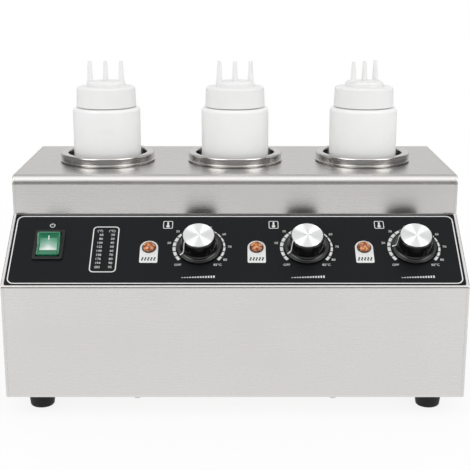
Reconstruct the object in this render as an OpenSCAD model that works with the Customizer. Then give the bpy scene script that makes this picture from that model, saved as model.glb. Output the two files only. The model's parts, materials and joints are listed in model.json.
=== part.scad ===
// Counter-top warmer for three squeeze bottles of sauce, in millimetres.
// The front looks along -Y, +X is to the right seen from the front, and the feet stand on Z = 0.

/* [Casing] */
// Width over the side panels
casing_w = 470; // [462:1:490]
// Height of the upright front face, up to the console
front_face_h = 119.5; // [114:0.5:130]
// Height that the sloped console climbs
console_rise = 55.5; // [53:0.5:59]
// Depth that the sloped console covers
console_run = 82; // [79:0.5:86]
// Height of the upright band above the console
band_h = 41; // [37:0.5:48]
// Depth of the top plate, from the band to the back
top_d = 186; // [180:1:200]
// Thickness of the stainless sheet
sheet_t = 1; // [0.8:0.1:1.1]
// Outer radius of the bend along the front of the top plate
top_bend_r = 9.5; // [8:0.5:11]
// Outer radius of the bends above and below the front face
low_bend_r = 3.4; // [3:0.1:4]
// Radius that softens the outer edges of the side panels
side_edge_r = 1.2; // [0.6:0.1:1.6]
// Width of the side panels' rim that shows beside the front sheets
side_rim_w = 3; // [2.4:0.1:3.6]
// Width of the inner flanges that carry the screws
flange_w = 14; // [13:0.5:16]
// Open seam between neighbouring sheets
seam = 0.1; // [0.05:0.05:0.2]
// Gap between the band's lower hem and the console sheet
hem_gap = 0.3; // [0.2:0.05:0.5]

/* [Feet] */
// Height of the rubber feet
foot_h = 18.5; // [16:0.5:24]
// Diameter of a foot under the base
foot_top_d = 28.5; // [25:0.5:30]
// Diameter of a foot near the floor
foot_bottom_d = 25; // [22:0.5:25]
// Radius round the lower edge of a foot
foot_edge_r = 2.5; // [2:0.5:4]
// Distance of the feet's centres from the casing's sides
foot_side_inset = 32; // [30:0.5:40]
// Distance of the feet's centres from the front and the back
foot_end_inset = 29; // [29:0.5:36]

/* [Wells] */
// Distance between the centres of neighbouring wells
well_pitch = 144; // [138:1:148]
// Inner diameter of a well
well_d = 88; // [86:0.5:90]
// Depth of a well below the top plate
well_depth = 106; // [100:1:112]
// Wall of the deep-drawn well pots
pot_wall = 1; // [0.8:0.1:1.2]
// Width of the pot's flange that rests on the top plate
pot_flange_w = 6.5; // [5:0.5:7]
// Outer diameter of the pressed collar
collar_d = 105; // [103.5:0.5:108]
// Height of the collar above the pot's flange
collar_h = 9.5; // [8:0.5:12]
// Radius over the collar's rim
collar_rim_r = 3.6; // [2.6:0.2:4]
// Radius of the bead round the collar's foot
collar_bead_r = 0.8; // [0.6:0.1:1]

/* [Heating] */
// Height of the mica heater bands
heater_h = 60; // [50:1:66]
// Thickness of the heater bands
heater_t = 2.8; // [2:0.2:3.4]
// Distance of the heater bands above the pots' undersides
heater_lift = 7; // [4:0.5:12]
// Thickness of the insulation round each well
insulation_t = 11; // [8:0.5:12]
// Diameter of a thermostat's sensing bulb
bulb_d = 6.4; // [5:0.2:7]
// Length of a sensing bulb
bulb_len = 60; // [50:1:66]

/* [Console] */
// Thickness of the black front plate on the console
plate_t = 0.8; // [0.6:0.1:1.2]
// Distance between neighbouring heat controls
unit_pitch = 110.65; // [106:0.05:112]
// Distance of the right knob from the casing's right side
knob_inset = 50.8; // [50:0.1:54]
// Height of the knobs and lamps up the slope
control_w = 51; // [49:0.5:53]
// Place of a lamp, to the left of its knob
lamp_offset = 51.35; // [48:0.05:54]
// Distance of the power switch from the casing's left side
switch_inset = 43; // [39:0.5:49]
// Height of the power switch up the slope
switch_w = 54.3; // [52:0.1:56]

/* [Knobs] */
// Diameter of a knob's skirt
knob_skirt_d = 46; // [44:0.5:47]
// Diameter of a knob's hub at the skirt
knob_hub_d = 36; // [34:0.5:38]
// Diameter of a knob's hub at the top
knob_top_d = 33.4; // [33:0.2:35]
// Diameter of the spun aluminium disc
knob_disc_d = 32; // [30:0.2:32.4]
// Height of a knob, skirt to disc
knob_h = 18.5; // [16:0.5:22]
// Gap between the front plate and a knob
knob_gap = 1.2; // [1:0.1:1.6]
// Diameter of the thermostat shafts
shaft_d = 6; // [5.6:0.1:6.4]
// Radial clearance of the shafts
shaft_gap = 0.05; // [0.03:0.01:0.09]
// Set positions of the three pointers, clockwise from twelve o'clock
pointer_angles = [-123.5, -118.5, -91.5];

/* [Switch] */
// Width of the switch's bezel
bezel_w = 31; // [30:0.5:33]
// Length of the switch's bezel
bezel_len = 40; // [39.5:0.5:42]
// Height of the bezel above the front plate
bezel_h = 1.7; // [1.4:0.1:2.4]
// Width of the rocker
rocker_w = 23.3; // [22:0.1:23.4]
// Length of one of the rocker's two faces
rocker_half = 14.5; // [13.5:0.1:14.8]
// Half of the angle that the rocker tips through
rocker_tilt = 14.5; // [12:0.5:15]

/* [Bottles] */
// Outer diameter of a bottle
bottle_d = 75; // [72:0.5:76]
// Height of a bottle's body, up to the break of the shoulder
bottle_body_h = 162.2; // [150:0.1:172]
// Wall of the bottles and their caps
bottle_wall = 1.2; // [1:0.1:1.6]
// Height of the shoulder up to the cap
shoulder_h = 5.4; // [5:0.2:9]
// Diameter of the neck
neck_d = 57.6; // [56:0.2:58]
// Diameter of a cap's skirt at its foot
cap_d = 66.6; // [65.2:0.2:67.2]
// Height of a cap's skirt
cap_h = 21.7; // [20:0.1:24]
// Diameter of the raised middle of a cap
cap_boss_d = 42; // [40:0.5:44]
// Height of the raised middle of a cap
cap_boss_h = 6.6; // [6:0.1:9]
// Length of the three nozzles
nozzle_len = 21.3; // [18:0.1:26]
// Distance between neighbouring nozzles
nozzle_pitch = 17.4; // [16.4:0.1:17.6]
// Diameter of a nozzle at its foot
nozzle_foot_d = 6.4; // [6:0.1:7]
// Diameter of a nozzle at its tip
nozzle_tip_d = 4.1; // [3.6:0.1:4.4]
// Turn of each cap's row of nozzles, seen from above
nozzle_turns = [0, 0, 40];

/* [Back] */
// Length of the cord gland outside the rear panel
gland_out = 16; // [14:0.5:20]
// Bore of the cord gland
gland_bore_d = 7.2; // [6:0.1:8]
// Place of the cord gland, from the middle of the casing
gland_x = -180; // [-190:1:-150]
// Height of the cord gland above the casing's bottom edge
gland_z = 32; // [26:1:44]
// Number of vent slots in each group in the rear panel
vent_count = 9; // [4:1:11]

/* [Hidden] */
$fn = 96;
through = 1;

// Places of the casing's planes. The gland's reach behind the casing keeps the whole model centred on Y = 0.
slope_a = atan2(console_rise, console_run);
slope_len = norm([console_run, console_rise]);
casing_h = front_face_h + console_rise + band_h;
casing_d = console_run + top_d;
front_y = -(casing_d + gland_out) / 2;
band_y = front_y + console_run;
rear_y = front_y + casing_d;
base_z = foot_h;
console_z = base_z + front_face_h;
corner_z = console_z + console_rise;
top_z = corner_z + band_h;

// Widths of the sheets between the side panels' rims, and of the flanges between their inner flanges.
sheet_w = casing_w - 2 * (side_rim_w + seam);
inner_w = casing_w - 2 * (flange_w + seam);
hem_w = 12;
front_hem_w = 12;
flange_y = rear_y - 2 * sheet_t - seam;

// Screws of the casing: M4 pan heads in clearance holes.
screw_r = 1.9;
screw_hole_r = 2.15;
screw_head_r = 3.6;
screw_head_h = 2;
screw_len = 8;
rim_screw_x = casing_w / 2 - (side_rim_w + flange_w) / 2;
hem_screw_x = well_pitch * 0.7;
corner_inset = 25;
rear_screw_places = concat(
    [for (side = [-1, 1], z = [base_z + corner_inset, base_z + casing_h / 2, top_z - corner_inset])
        [side * rim_screw_x, z]],
    [for (x = [-hem_screw_x, hem_screw_x]) [x, base_z + flange_w / 2 + sheet_t]],
    [for (x = [-hem_screw_x, hem_screw_x]) [x, top_z - flange_w / 2 - sheet_t]]);
side_screw_ys = [front_y + 2.2 * foot_end_inset, (front_y + rear_y) / 2, rear_y - 2.2 * foot_end_inset];
base_screw_places = concat(
    [for (side = [-1, 1], y = side_screw_ys) [side * rim_screw_x, y]],
    [for (x = [-hem_screw_x, hem_screw_x]) [x, front_y + (low_bend_r + front_hem_w) / 2 + sheet_t / 2]]);

// Feet
foot_places = [for (y = [front_y + foot_end_inset, rear_y - foot_end_inset], side = [-1, 1])
    [side * (casing_w / 2 - foot_side_inset), y]];
foot_screw_r = 2.4;
foot_bore_r = 2.6;
foot_sink_r = 4.8;
foot_sink_h = 8;
foot_washer_h = 1;
foot_nut_h = 3.2;

// Wells
well_y = band_y + top_d / 2;
well_xs = [-well_pitch, 0, well_pitch];
well_r = well_d / 2;
pot_r = well_r + pot_wall;
pot_corner_r = 6;
pot_floor_z = top_z - well_depth;
pot_bottom_z = pot_floor_z - pot_wall;
deck_hole_r = pot_r + 0.6;
heater_gap = 0.2;
heater_r = pot_r + heater_gap;
heater_z = pot_bottom_z + heater_lift;
heater_ear_x = 3;
heater_ear_len = 12;
heater_screw_zs = [heater_z + heater_h * 0.2, heater_z + heater_h * 0.8];
heater_screw_y = heater_r + heater_t - 1 + heater_ear_len * 0.6;
stud_r = 2;
stud_len = 7;
stud_z = heater_z + 5;
stud_a = 12;
sleeve_gap = 0.3;
sleeve_slot_gap = 7;
sleeve_r = heater_r + heater_t + sleeve_gap;
sleeve_z = stud_z + stud_r + 4;
sleeve_top_z = top_z - sheet_t - 12;
bulb_gap = 0.2;
bulb_z = pot_bottom_z - bulb_d / 2 - bulb_gap;
clip_t = 0.8;
clip_w = 8;
clip_ear = 5;
clip_x = bulb_len / 2 - 12;
capillary_r = 0.9;

// Console
unit_xs = [for (i = [0 : 2]) casing_w / 2 - knob_inset - (2 - i) * unit_pitch];
switch_x = casing_w / 2 - switch_inset;
plate_margin = 0.4;
plate_low_w = 2;
plate_high_w = 1.2;
plate_corner_r = 1.5;
bush_r = 5;
bush_hole_r = 5.2;
knob_z = plate_t + knob_gap;
skirt_t = 1.9;
skirt_edge_r = 0.8;
hub_fillet_r = 2;
disc_t = 1.2;
disc_sink = 0.9;
knob_bore_len = 13.5;
knob_boss_r = 6.5;
knob_hollow_r = knob_hub_d / 2 - 3;
knob_hollow_h = 9;
shaft_flat = 0.8;
thermo_w = 38;
thermo_len = 34;
thermo_t = 25;
thermo_plate_t = 1.6;
thermo_plate_w = 44;
thermo_screw_x = 14;
thermo_screw_r = 1.9;
thermo_head_r = 3.4;
thermo_head_h = 0.7;
thermo_rear_z = -sheet_t - thermo_plate_t - thermo_t;
blade_x = 9;
blade_w = 6.3;
blade_t = 0.8;
blade_len = 8;
lamp_rim_r = 7.3;
lamp_rim_h = 1.3;
lamp_dome_r = 6.3;
lamp_dome_h = 4;
lamp_body_r = 6;
lamp_hole_r = 6.2;
lamp_body_len = 26;
lamp_nut_r = 9;
lamp_nut_h = 2.5;

// Power switch: heights are measured from the console sheet's outer face.
bezel_top = plate_t + bezel_h;
bezel_corner_r = 2.5;
rocker_gap = 0.35;
rocker_crown = 4;
pivot_r = 1.5;
pivot_len = 1.4;
rocker_end = norm([rocker_half * cos(rocker_tilt), rocker_crown + rocker_half * sin(rocker_tilt)]);
opening_w = rocker_w + 2 * rocker_gap;
opening_len = 2 * (rocker_end + rocker_gap);
pivot_z = bezel_top + 1 - rocker_crown * cos(rocker_tilt);
housing_wall = 2;
housing_w = opening_w + 2 * housing_wall;
housing_len = opening_len + 2 * housing_wall;
housing_t = 24;
rocker_depth = 7;
cutout_gap = 0.3;

// Bottles: heights are measured from the bottle's foot.
stand_gap = 0.2;
bottle_z = pot_floor_z + stand_gap;
bottle_r = bottle_d / 2;
bottle_foot_r = 4;
neck_r = neck_d / 2;
cap_gap = 0.4;
cap_z = bottle_body_h + shoulder_h;
cap_top = cap_z + cap_h;
cap_taper = 1;
cap_edge_r = 1.5;
cap_wall = 2;
neck_top = cap_top - cap_wall - 0.3;
thread_r = 0.7;
cap_inner_r = neck_r + thread_r + cap_gap;
boss_top = cap_top + cap_boss_h;
boss_edge_r = 2.2;
nozzle_bore_r = 1.1;

// Back
gland_thread_r = 8;
gland_thread_len = 9;
gland_hex_r = 11;
gland_hex_h = 5;
gland_cap_r = 9.4;
gland_tip_r = 7.6;
gland_tip_h = 3;
locknut_h = 5;
slot_w = 4;
slot_h = 30;
slot_pitch = 9;
base_slot_pitch = 14;
block_x = -120;
block_y = rear_y - 45;
block_w = 22;
block_h = 16;
block_poles = 6;
pole_pitch = 11;
pole_r = 2.4;
pole_depth = 6;

// Leads
lead_r = 1.1;
lead_sides = 6;
lead_gap = 0.5;

function arc(c, r, a0, a1, n) =
    [for (i = [0 : n]) let (a = a0 + (a1 - a0) * i / n) c + r * [cos(a), sin(a)]];
function edge_normal(p, i) =
    let (e = p[(i + 1) % len(p)] - p[i]) [-e[1], e[0]] / norm(e);
function inset(p, d) =
    [for (i = [0 : len(p) - 1])
        let (n1 = edge_normal(p, (i + len(p) - 1) % len(p)), n2 = edge_normal(p, i))
        p[i] + d * (n1 + n2) / (1 + n1 * n2)];

// Outline of the casing in the YZ plane, counter-clockwise from the lower rear corner.
low_bend_c = [front_y + low_bend_r, base_z + low_bend_r];
console_bend_c = [front_y + low_bend_r,
    console_z + low_bend_r * (tan(slope_a) - 1 / cos(slope_a))];
bend_w = low_bend_r * (1 - sin(slope_a)) / cos(slope_a);
top_steps = 8;
hollow_i = top_steps + 3;
casing_outline = concat(
    [[rear_y, base_z], [rear_y, top_z]],
    arc([band_y + top_bend_r, top_z - top_bend_r], top_bend_r, 90, 180, top_steps),
    [[band_y, corner_z]],
    arc(console_bend_c, low_bend_r, 90 + slope_a, 180, 5),
    arc(low_bend_c, low_bend_r, 180, 270, 6));

// A piece drawn in console coordinates: X across, Y up the slope, Z out of the console sheet.
module on_console(x, w) {
    translate([x, front_y, console_z]) rotate([slope_a, 0, 0]) translate([0, w, 0]) children();
}

// The same move as a function, for points.
function console_point(x, w, h) =
    [x, front_y + w * cos(slope_a) - h * sin(slope_a), console_z + w * sin(slope_a) + h * cos(slope_a)];

// A profile in the YZ plane, drawn out along X and centred.
module along_x(w) {
    translate([-w / 2, 0, 0]) rotate([90, 0, 90]) linear_extrude(w) children();
}

// Cross-section of a bend in the sheet between two directions, in degrees.
module bend_2d(c, r, a0, a1) {
    translate(c) intersection() {
        difference() {
            circle(r);
            circle(r - sheet_t);
        }
        polygon(concat([[0, 0]], arc([0, 0], 2 * r, a0, a1, 3)));
    }
}

module round_rect_2d(w, l, r) {
    union() {
        square([w - 2 * r, l], center = true);
        square([w, l - 2 * r], center = true);
        for (sx = [-1, 1], sy = [-1, 1]) translate([sx * (w / 2 - r), sy * (l / 2 - r)]) circle(r);
    }
}

module pan_screw(length) {
    difference() {
        union() {
            cylinder(r = screw_head_r, h = screw_head_h);
            translate([0, 0, -length]) cylinder(r = screw_r, h = length);
        }
        for (a = [0, 90]) rotate(a) translate([-2, -0.4, screw_head_h - 1]) cube([4, 0.8, 2]);
    }
}

module console_holes(r_bush, r_lamp) {
    for (x = unit_xs) {
        on_console(x, control_w) translate([0, 0, -2 * sheet_t - plate_t]) {
            cylinder(r = r_bush, h = 4 * sheet_t + 2 * plate_t);
            for (s = [-1, 1]) translate([s * thermo_screw_x, 0, 0])
                cylinder(r = thermo_screw_r + 0.2, h = 4 * sheet_t + 2 * plate_t);
        }
        on_console(x - lamp_offset, control_w) translate([0, 0, -2 * sheet_t - plate_t])
            cylinder(r = r_lamp, h = 4 * sheet_t + 2 * plate_t);
    }
    on_console(-switch_x, switch_w) translate([0, 0, -2 * sheet_t - plate_t])
        linear_extrude(4 * sheet_t + 2 * plate_t)
            square([housing_w + 2 * cutout_gap, housing_len + 2 * cutout_gap], center = true);
}

// Top plate with its bend, the upright band, the hem behind it and a flange for the rear panel.
module top_deck() color("gainsboro") {
    hem_z = corner_z + (hem_gap + sheet_t) / cos(slope_a);
    difference() {
        union() {
            along_x(sheet_w) {
                translate([band_y + top_bend_r, top_z - sheet_t]) square([top_d - top_bend_r, sheet_t]);
                bend_2d([band_y + top_bend_r, top_z - top_bend_r], top_bend_r, 90, 180);
                translate([band_y, hem_z]) square([sheet_t, top_z - top_bend_r - hem_z]);
            }
            along_x(inner_w) {
                intersection() {
                    translate([band_y, corner_z]) rotate(slope_a)
                        translate([-2 * sheet_t, hem_gap]) square([hem_w, sheet_t]);
                    translate([band_y, corner_z - 1]) square([hem_w, casing_h]);
                }
                translate([flange_y, top_z - flange_w - sheet_t])
                    square([sheet_t, flange_w + sheet_t]);
            }
        }
        for (x = well_xs) translate([x, well_y, top_z - 2 * sheet_t])
            cylinder(r = deck_hole_r, h = 4 * sheet_t);
        rear_screw_holes();
    }
}

// Console sheet and upright front face in one folded sheet, with a hem under the base.
module front_panel() color("gainsboro") {
    difference() {
        union() {
            along_x(sheet_w) {
                translate([front_y, console_z]) rotate(slope_a)
                    translate([bend_w, -sheet_t]) square([slope_len - bend_w, sheet_t]);
                bend_2d(console_bend_c, low_bend_r, 90 + slope_a, 180);
                translate([front_y, low_bend_c[1]])
                    square([sheet_t, console_bend_c[1] - low_bend_c[1]]);
                bend_2d(low_bend_c, low_bend_r, 180, 270);
                translate([low_bend_c[0], base_z]) square([front_hem_w - low_bend_r, sheet_t]);
            }
            along_x(inner_w) translate([front_y, console_z]) rotate(slope_a)
                translate([slope_len - 2, -sheet_t]) square([hem_w, sheet_t]);
        }
        console_holes(bush_hole_r, lamp_hole_r);
        base_screw_holes();
    }
}

// Black printed plate that covers the console between the band and the front bend.
module console_plate() color("#26282b") {
    plate_len = slope_len - plate_low_w - plate_high_w;
    difference() {
        on_console(0, plate_low_w + plate_len / 2) linear_extrude(plate_t)
            round_rect_2d(sheet_w - 2 * plate_margin, plate_len, plate_corner_r);
        console_holes(bush_hole_r, lamp_hole_r);
    }
}

// Side pan: outer sheet, rounded edge, narrow rim and a stepped flange behind the other sheets.
// Each flat cap is split from its hollow corner to its rear foot, so both halves are convex.
module side_panel() color("gainsboro") {
    rings = concat(
        [for (a = [0 : 22.5 : 90]) side_edge_r * [1 - cos(a), 1 - sin(a)]],
        [[side_rim_w, 0], [side_rim_w, sheet_t + seam], [flange_w, sheet_t + seam],
            [flange_w, 2 * sheet_t + seam], [sheet_t, 2 * sheet_t + seam]]);
    n = len(casing_outline);
    last = (len(rings) - 1) * n;
    difference() {
        polyhedron(
            points = [for (ring = rings, p = inset(casing_outline, ring[1]))
                [casing_w / 2 - ring[0], p[0], p[1]]],
            faces = concat(
                [[for (i = [hollow_i : -1 : 0]) i], concat([0], [for (i = [n - 1 : -1 : hollow_i]) i])],
                [[for (i = [0 : hollow_i]) last + i],
                    concat([last], [for (i = [hollow_i : n - 1]) last + i])],
                [for (j = [0 : len(rings) - 2], i = [0 : n - 1])
                    [j * n + i, j * n + (i + 1) % n, (j + 1) * n + (i + 1) % n, (j + 1) * n + i]]));
        rear_screw_holes();
        base_screw_holes();
    }
}

module rear_screw_holes() {
    for (p = rear_screw_places) translate([p[0], rear_y + through, p[1]]) rotate([90, 0, 0])
        cylinder(r = screw_hole_r, h = 4 * sheet_t + 2 * through);
}

module base_screw_holes() {
    for (p = base_screw_places) translate([p[0], p[1], base_z - through])
        cylinder(r = screw_hole_r, h = 4 * sheet_t + 2 * through);
}

module vent_slots(x) {
    first_x = x - slot_pitch * (vent_count - 1) / 2;
    for (i = [0 : vent_count - 1], z = [base_z + casing_h * 0.62, base_z + casing_h * 0.82])
        translate([first_x + i * slot_pitch, rear_y + through, z])
            rotate([90, 0, 0]) linear_extrude(2 * sheet_t + 2 * through)
                round_rect_2d(slot_w, slot_h, slot_w / 2 - 0.01);
}

module rear_panel() color("gainsboro") {
    panel_h = casing_h - 2 * (sheet_t + seam);
    difference() {
        translate([-sheet_w / 2, rear_y - sheet_t, base_z + sheet_t + seam])
            cube([sheet_w, sheet_t, panel_h]);
        rear_screw_holes();
        for (x = [-well_pitch, well_pitch]) vent_slots(x);
        translate([gland_x, rear_y + through, base_z + gland_z]) rotate([90, 0, 0])
            cylinder(r = gland_thread_r + 0.2, h = 2 * sheet_t + 2 * through);
    }
}

// Base with a joggled lip over the front hem, an upright rear flange and rows of vent holes.
module base_plate() color("silver") {
    lip_y = front_y + low_bend_r + 0.5;
    plate_y = front_y + front_hem_w + seam;
    lip_end = plate_y + hem_w;
    difference() {
        union() {
            translate([-sheet_w / 2, plate_y, base_z]) cube([sheet_w, rear_y - plate_y, sheet_t]);
            translate([-inner_w / 2, plate_y, base_z])
                cube([inner_w, lip_end - plate_y, 2 * sheet_t + seam]);
            translate([-inner_w / 2, lip_y, base_z + sheet_t + seam])
                cube([inner_w, lip_end - lip_y, sheet_t]);
            translate([-inner_w / 2, flange_y, base_z])
                cube([inner_w, sheet_t, flange_w + sheet_t]);
        }
        rear_screw_holes();
        base_screw_holes();
        for (p = foot_places) translate([p[0], p[1], base_z - through])
            cylinder(r = foot_bore_r, h = 2 * sheet_t + 2 * through);
        for (x = well_xs, i = [-2 : 2]) translate([x + base_slot_pitch * i, well_y, base_z - through])
            linear_extrude(2 * sheet_t + 2 * through) round_rect_2d(slot_w, 2 * slot_h, slot_w / 2 - 0.01);
    }
}

module foot(p) color("#202020") {
    translate([p[0], p[1], 0]) difference() {
        rotate_extrude() polygon(concat(
            [[0, 0]],
            arc([foot_bottom_d / 2 - foot_edge_r, foot_edge_r], foot_edge_r, 270, 360, 8),
            [[foot_top_d / 2, foot_h - 1.5], [foot_top_d / 2 - 0.5, foot_h], [0, foot_h]]));
        translate([0, 0, -through]) cylinder(r = foot_sink_r, h = foot_sink_h + through);
        cylinder(r = foot_bore_r, h = foot_h + through);
    }
}

// One machine screw, washer under its head and nut on the base, for each foot.
module foot_screws() color("lightgray") {
    for (p = foot_places) translate([p[0], p[1], 0]) {
        translate([0, 0, foot_sink_h - foot_washer_h]) cylinder(r = foot_sink_r - 0.4, h = foot_washer_h);
        translate([0, 0, foot_sink_h - foot_washer_h - screw_head_h]) cylinder(r = 4, h = screw_head_h);
        translate([0, 0, foot_sink_h - foot_washer_h])
            cylinder(r = foot_screw_r, h = base_z + sheet_t + foot_nut_h + 1.5 - foot_sink_h + foot_washer_h);
        translate([0, 0, base_z + sheet_t]) cylinder(r = 4.6, h = foot_nut_h, $fn = 6);
    }
}

module rear_panel_screws() color("lightgray") {
    for (p = rear_screw_places) translate([p[0], rear_y, p[1]]) rotate([-90, 0, 0]) pan_screw(screw_len);
}

module base_plate_screws() color("lightgray") {
    for (p = base_screw_places) translate([p[0], p[1], base_z]) rotate([180, 0, 0]) pan_screw(screw_len);
}

// Deep-drawn pot whose flange rests on the top plate.
module well_pot(x) color("silver") {
    translate([x, well_y, 0]) rotate_extrude() difference() {
        union() {
            translate([0, pot_bottom_z])
                cup_2d(pot_r, well_depth + pot_wall + sheet_t, pot_corner_r + pot_wall);
            translate([0, top_z]) square([well_r + pot_flange_w, sheet_t]);
        }
        translate([0, pot_floor_z]) cup_2d(well_r, well_depth + 2 * sheet_t, pot_corner_r);
    }
}

// Half outline of a cup, with its lower corner rounded.
module cup_2d(r, h, corner_r) {
    union() {
        square([r - corner_r, h]);
        translate([0, corner_r]) square([r, h - corner_r]);
        translate([r - corner_r, corner_r]) circle(corner_r);
    }
}

// Half outline of a ring whose two upper corners are rounded.
module ring_2d(r0, r1, h, corner_r) {
    translate([r0, 0]) square([r1 - r0, h - corner_r]);
    translate([r0 + corner_r, 0]) square([r1 - r0 - 2 * corner_r, h]);
    for (r = [r0 + corner_r, r1 - corner_r]) translate([r, h - corner_r]) circle(corner_r);
}

// Pressed ring over the pot's flange: hollow below, with a bead round its foot.
module well_collar(x) color("#c9c9c9") {
    translate([x, well_y, top_z + sheet_t]) rotate_extrude() {
        difference() {
            ring_2d(well_r, collar_d / 2, collar_h, collar_rim_r);
            translate([0, -through]) ring_2d(well_r + sheet_t, collar_d / 2 - sheet_t,
                collar_h - sheet_t + through, collar_rim_r - sheet_t);
        }
        translate([collar_d / 2, collar_bead_r]) circle(collar_bead_r);
    }
}

// Mica band heater with two clamp ears at the back and two terminal studs at the front.
module heater_band(x) color("#b9b4a6") {
    ear_y = heater_r + heater_t - 1;
    translate([x, well_y, 0]) difference() {
        union() {
            translate([0, 0, heater_z]) cylinder(r = heater_r + heater_t, h = heater_h);
            for (s = [-1, 1]) translate([s * heater_ear_x - 1, ear_y, heater_z])
                cube([2, heater_ear_len, heater_h]);
            for (s = [-1, 1]) translate([0, 0, stud_z]) rotate([90, 0, s * stud_a])
                cylinder(r = stud_r, h = heater_r + heater_t + stud_len);
        }
        translate([0, 0, heater_z - through]) cylinder(r = heater_r, h = heater_h + 2 * through);
        translate([1 - heater_ear_x, 0, heater_z - through])
            cube([2 * heater_ear_x - 2, 2 * heater_r, heater_h + 2 * through]);
        for (z = heater_screw_zs) translate([-10, heater_screw_y, z])
            rotate([0, 90, 0]) cylinder(r = screw_hole_r, h = 20);
    }
}

module heater_clamp_screws() color("lightgray") {
    for (x = well_xs, z = heater_screw_zs) translate([x, well_y + heater_screw_y, z]) {
        translate([heater_ear_x + 1, 0, 0]) rotate([0, 90, 0]) pan_screw(2 * heater_ear_x + 6);
        translate([-heater_ear_x - 1, 0, 0]) rotate([0, -90, 0]) cylinder(r = screw_head_r, h = 2.6, $fn = 6);
    }
}

// Ceramic-wool sleeves round the bands, split at the back where the clamp ears stand.
module insulation_sleeves() color("#e8e4d8") {
    slot_x = 2 * (heater_ear_x + screw_head_h + sleeve_slot_gap);
    for (x = well_xs) translate([x, well_y, sleeve_z]) difference() {
        cylinder(r = sleeve_r + insulation_t, h = sleeve_top_z - sleeve_z);
        translate([0, 0, -through]) cylinder(r = sleeve_r, h = sleeve_top_z - sleeve_z + 2 * through);
        translate([-slot_x / 2, 0, -through])
            cube([slot_x, 2 * sleeve_r, sleeve_top_z - sleeve_z + 2 * through]);
    }
}

// Straps welded under each pot that hold its sensing bulb.
module sensor_clips() color("silver") {
    inner_r = bulb_d / 2 + bulb_gap;
    for (x = well_xs, s = [-1, 1]) translate([x + s * clip_x - clip_w / 2, well_y, bulb_z])
        rotate([90, 0, 90]) linear_extrude(clip_w) difference() {
            union() {
                circle(inner_r + clip_t);
                translate([-inner_r - clip_t, 0]) square([2 * (inner_r + clip_t), inner_r]);
                translate([-inner_r - clip_ear, inner_r - clip_t])
                    square([2 * (inner_r + clip_ear), clip_t]);
            }
            circle(inner_r);
            translate([-inner_r, 0]) square([2 * inner_r, inner_r + clip_t]);
        }
}

// Round tube of n sides through a list of points, with its rings square to the path.
module tube(path, r, n) {
    count = len(path);
    function heading(i) =
        let (a = path[max(i - 1, 0)], b = path[min(i + 1, count - 1)]) (b - a) / norm(b - a);
    function side_of(t) = let (u = abs(t[0]) < 0.8 ? [1, 0, 0] : [0, 1, 0], c = cross(t, u)) c / norm(c);
    points = [for (i = [0 : count - 1])
        let (t = heading(i), u = side_of(t), v = cross(t, u))
        for (k = [0 : n - 1]) path[i] + r * (cos(360 * k / n) * u + sin(360 * k / n) * v)];
    polyhedron(points = points, faces = concat(
        [[for (k = [0 : n - 1]) k]],
        [[for (k = [n - 1 : -1 : 0]) (count - 1) * n + k]],
        [for (i = [0 : count - 2], k = [0 : n - 1])
            [i * n + k, (i + 1) * n + k, (i + 1) * n + (k + 1) % n, i * n + (k + 1) % n]]));
}

// Smooth path through hand-set points, by a Catmull-Rom curve.
function smooth(p, n) = concat(
    [for (i = [0 : len(p) - 2], k = [0 : n - 1])
        let (t = k / n, a = p[max(i - 1, 0)], b = p[i], c = p[i + 1], d = p[min(i + 2, len(p) - 1)])
        let (bend = 2 * a - 5 * b + 4 * c - d, twist = 3 * b - a - 3 * c + d)
        0.5 * (2 * b + (c - a) * t + bend * pow(t, 2) + twist * pow(t, 3))],
    [p[len(p) - 1]]);

// Sensing bulb under a pot, with the capillary that leads to its thermostat.
module sensor_bulb(i) color("#b87333") {
    x = well_xs[i];
    port = console_point(unit_xs[i], control_w, thermo_rear_z - bulb_gap);
    translate([x - bulb_len / 2, well_y, bulb_z]) rotate([0, 90, 0]) cylinder(d = bulb_d, h = bulb_len);
    tube(smooth([
        [x + bulb_len / 2, well_y, bulb_z],
        [x + bulb_len / 2 + 6, well_y, bulb_z - 2],
        [x + bulb_len / 2 + 8, well_y - 30, bulb_z - 8],
        [(x + unit_xs[i]) / 2 + 20, well_y - 60, bulb_z - 12],
        [port[0], port[1] + 12, port[2] - 22],
        port + 5 * [0, sin(slope_a), -cos(slope_a)],
        port], 5), capillary_r, 6);
}

// Capillary thermostat behind the console: case, mounting plate, bored bush and two blades.
module thermostat(x) color("#8f8f8a") {
    on_console(x, control_w) difference() {
        union() {
            translate([-thermo_w / 2, -thermo_len / 2, thermo_rear_z]) cube([thermo_w, thermo_len, thermo_t]);
            translate([-thermo_plate_w / 2, -thermo_len / 2, -sheet_t - thermo_plate_t])
                cube([thermo_plate_w, thermo_len, thermo_plate_t]);
            translate([0, 0, -sheet_t - thermo_plate_t])
                cylinder(r = bush_r, h = sheet_t + thermo_plate_t + plate_t);
            for (s = [-1, 1]) translate([s * blade_x - blade_w / 2, -blade_t / 2, thermo_rear_z - blade_len])
                cube([blade_w, blade_t, blade_len + 1]);
        }
        translate([0, 0, thermo_rear_z + 5]) cylinder(r = shaft_d / 2 + shaft_gap, h = thermo_t + 10);
        for (s = [-1, 1]) translate([s * thermo_screw_x, 0, -sheet_t - 6])
            cylinder(r = thermo_screw_r + 0.1, h = 10);
    }
}

module thermostat_screws() color("lightgray") {
    for (x = unit_xs, s = [-1, 1]) on_console(x + s * thermo_screw_x, control_w) {
        translate([0, 0, plate_t]) cylinder(r = thermo_head_r, h = thermo_head_h);
        translate([0, 0, -sheet_t - 5]) cylinder(r = thermo_screw_r, h = sheet_t + 5 + plate_t);
    }
}

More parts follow.
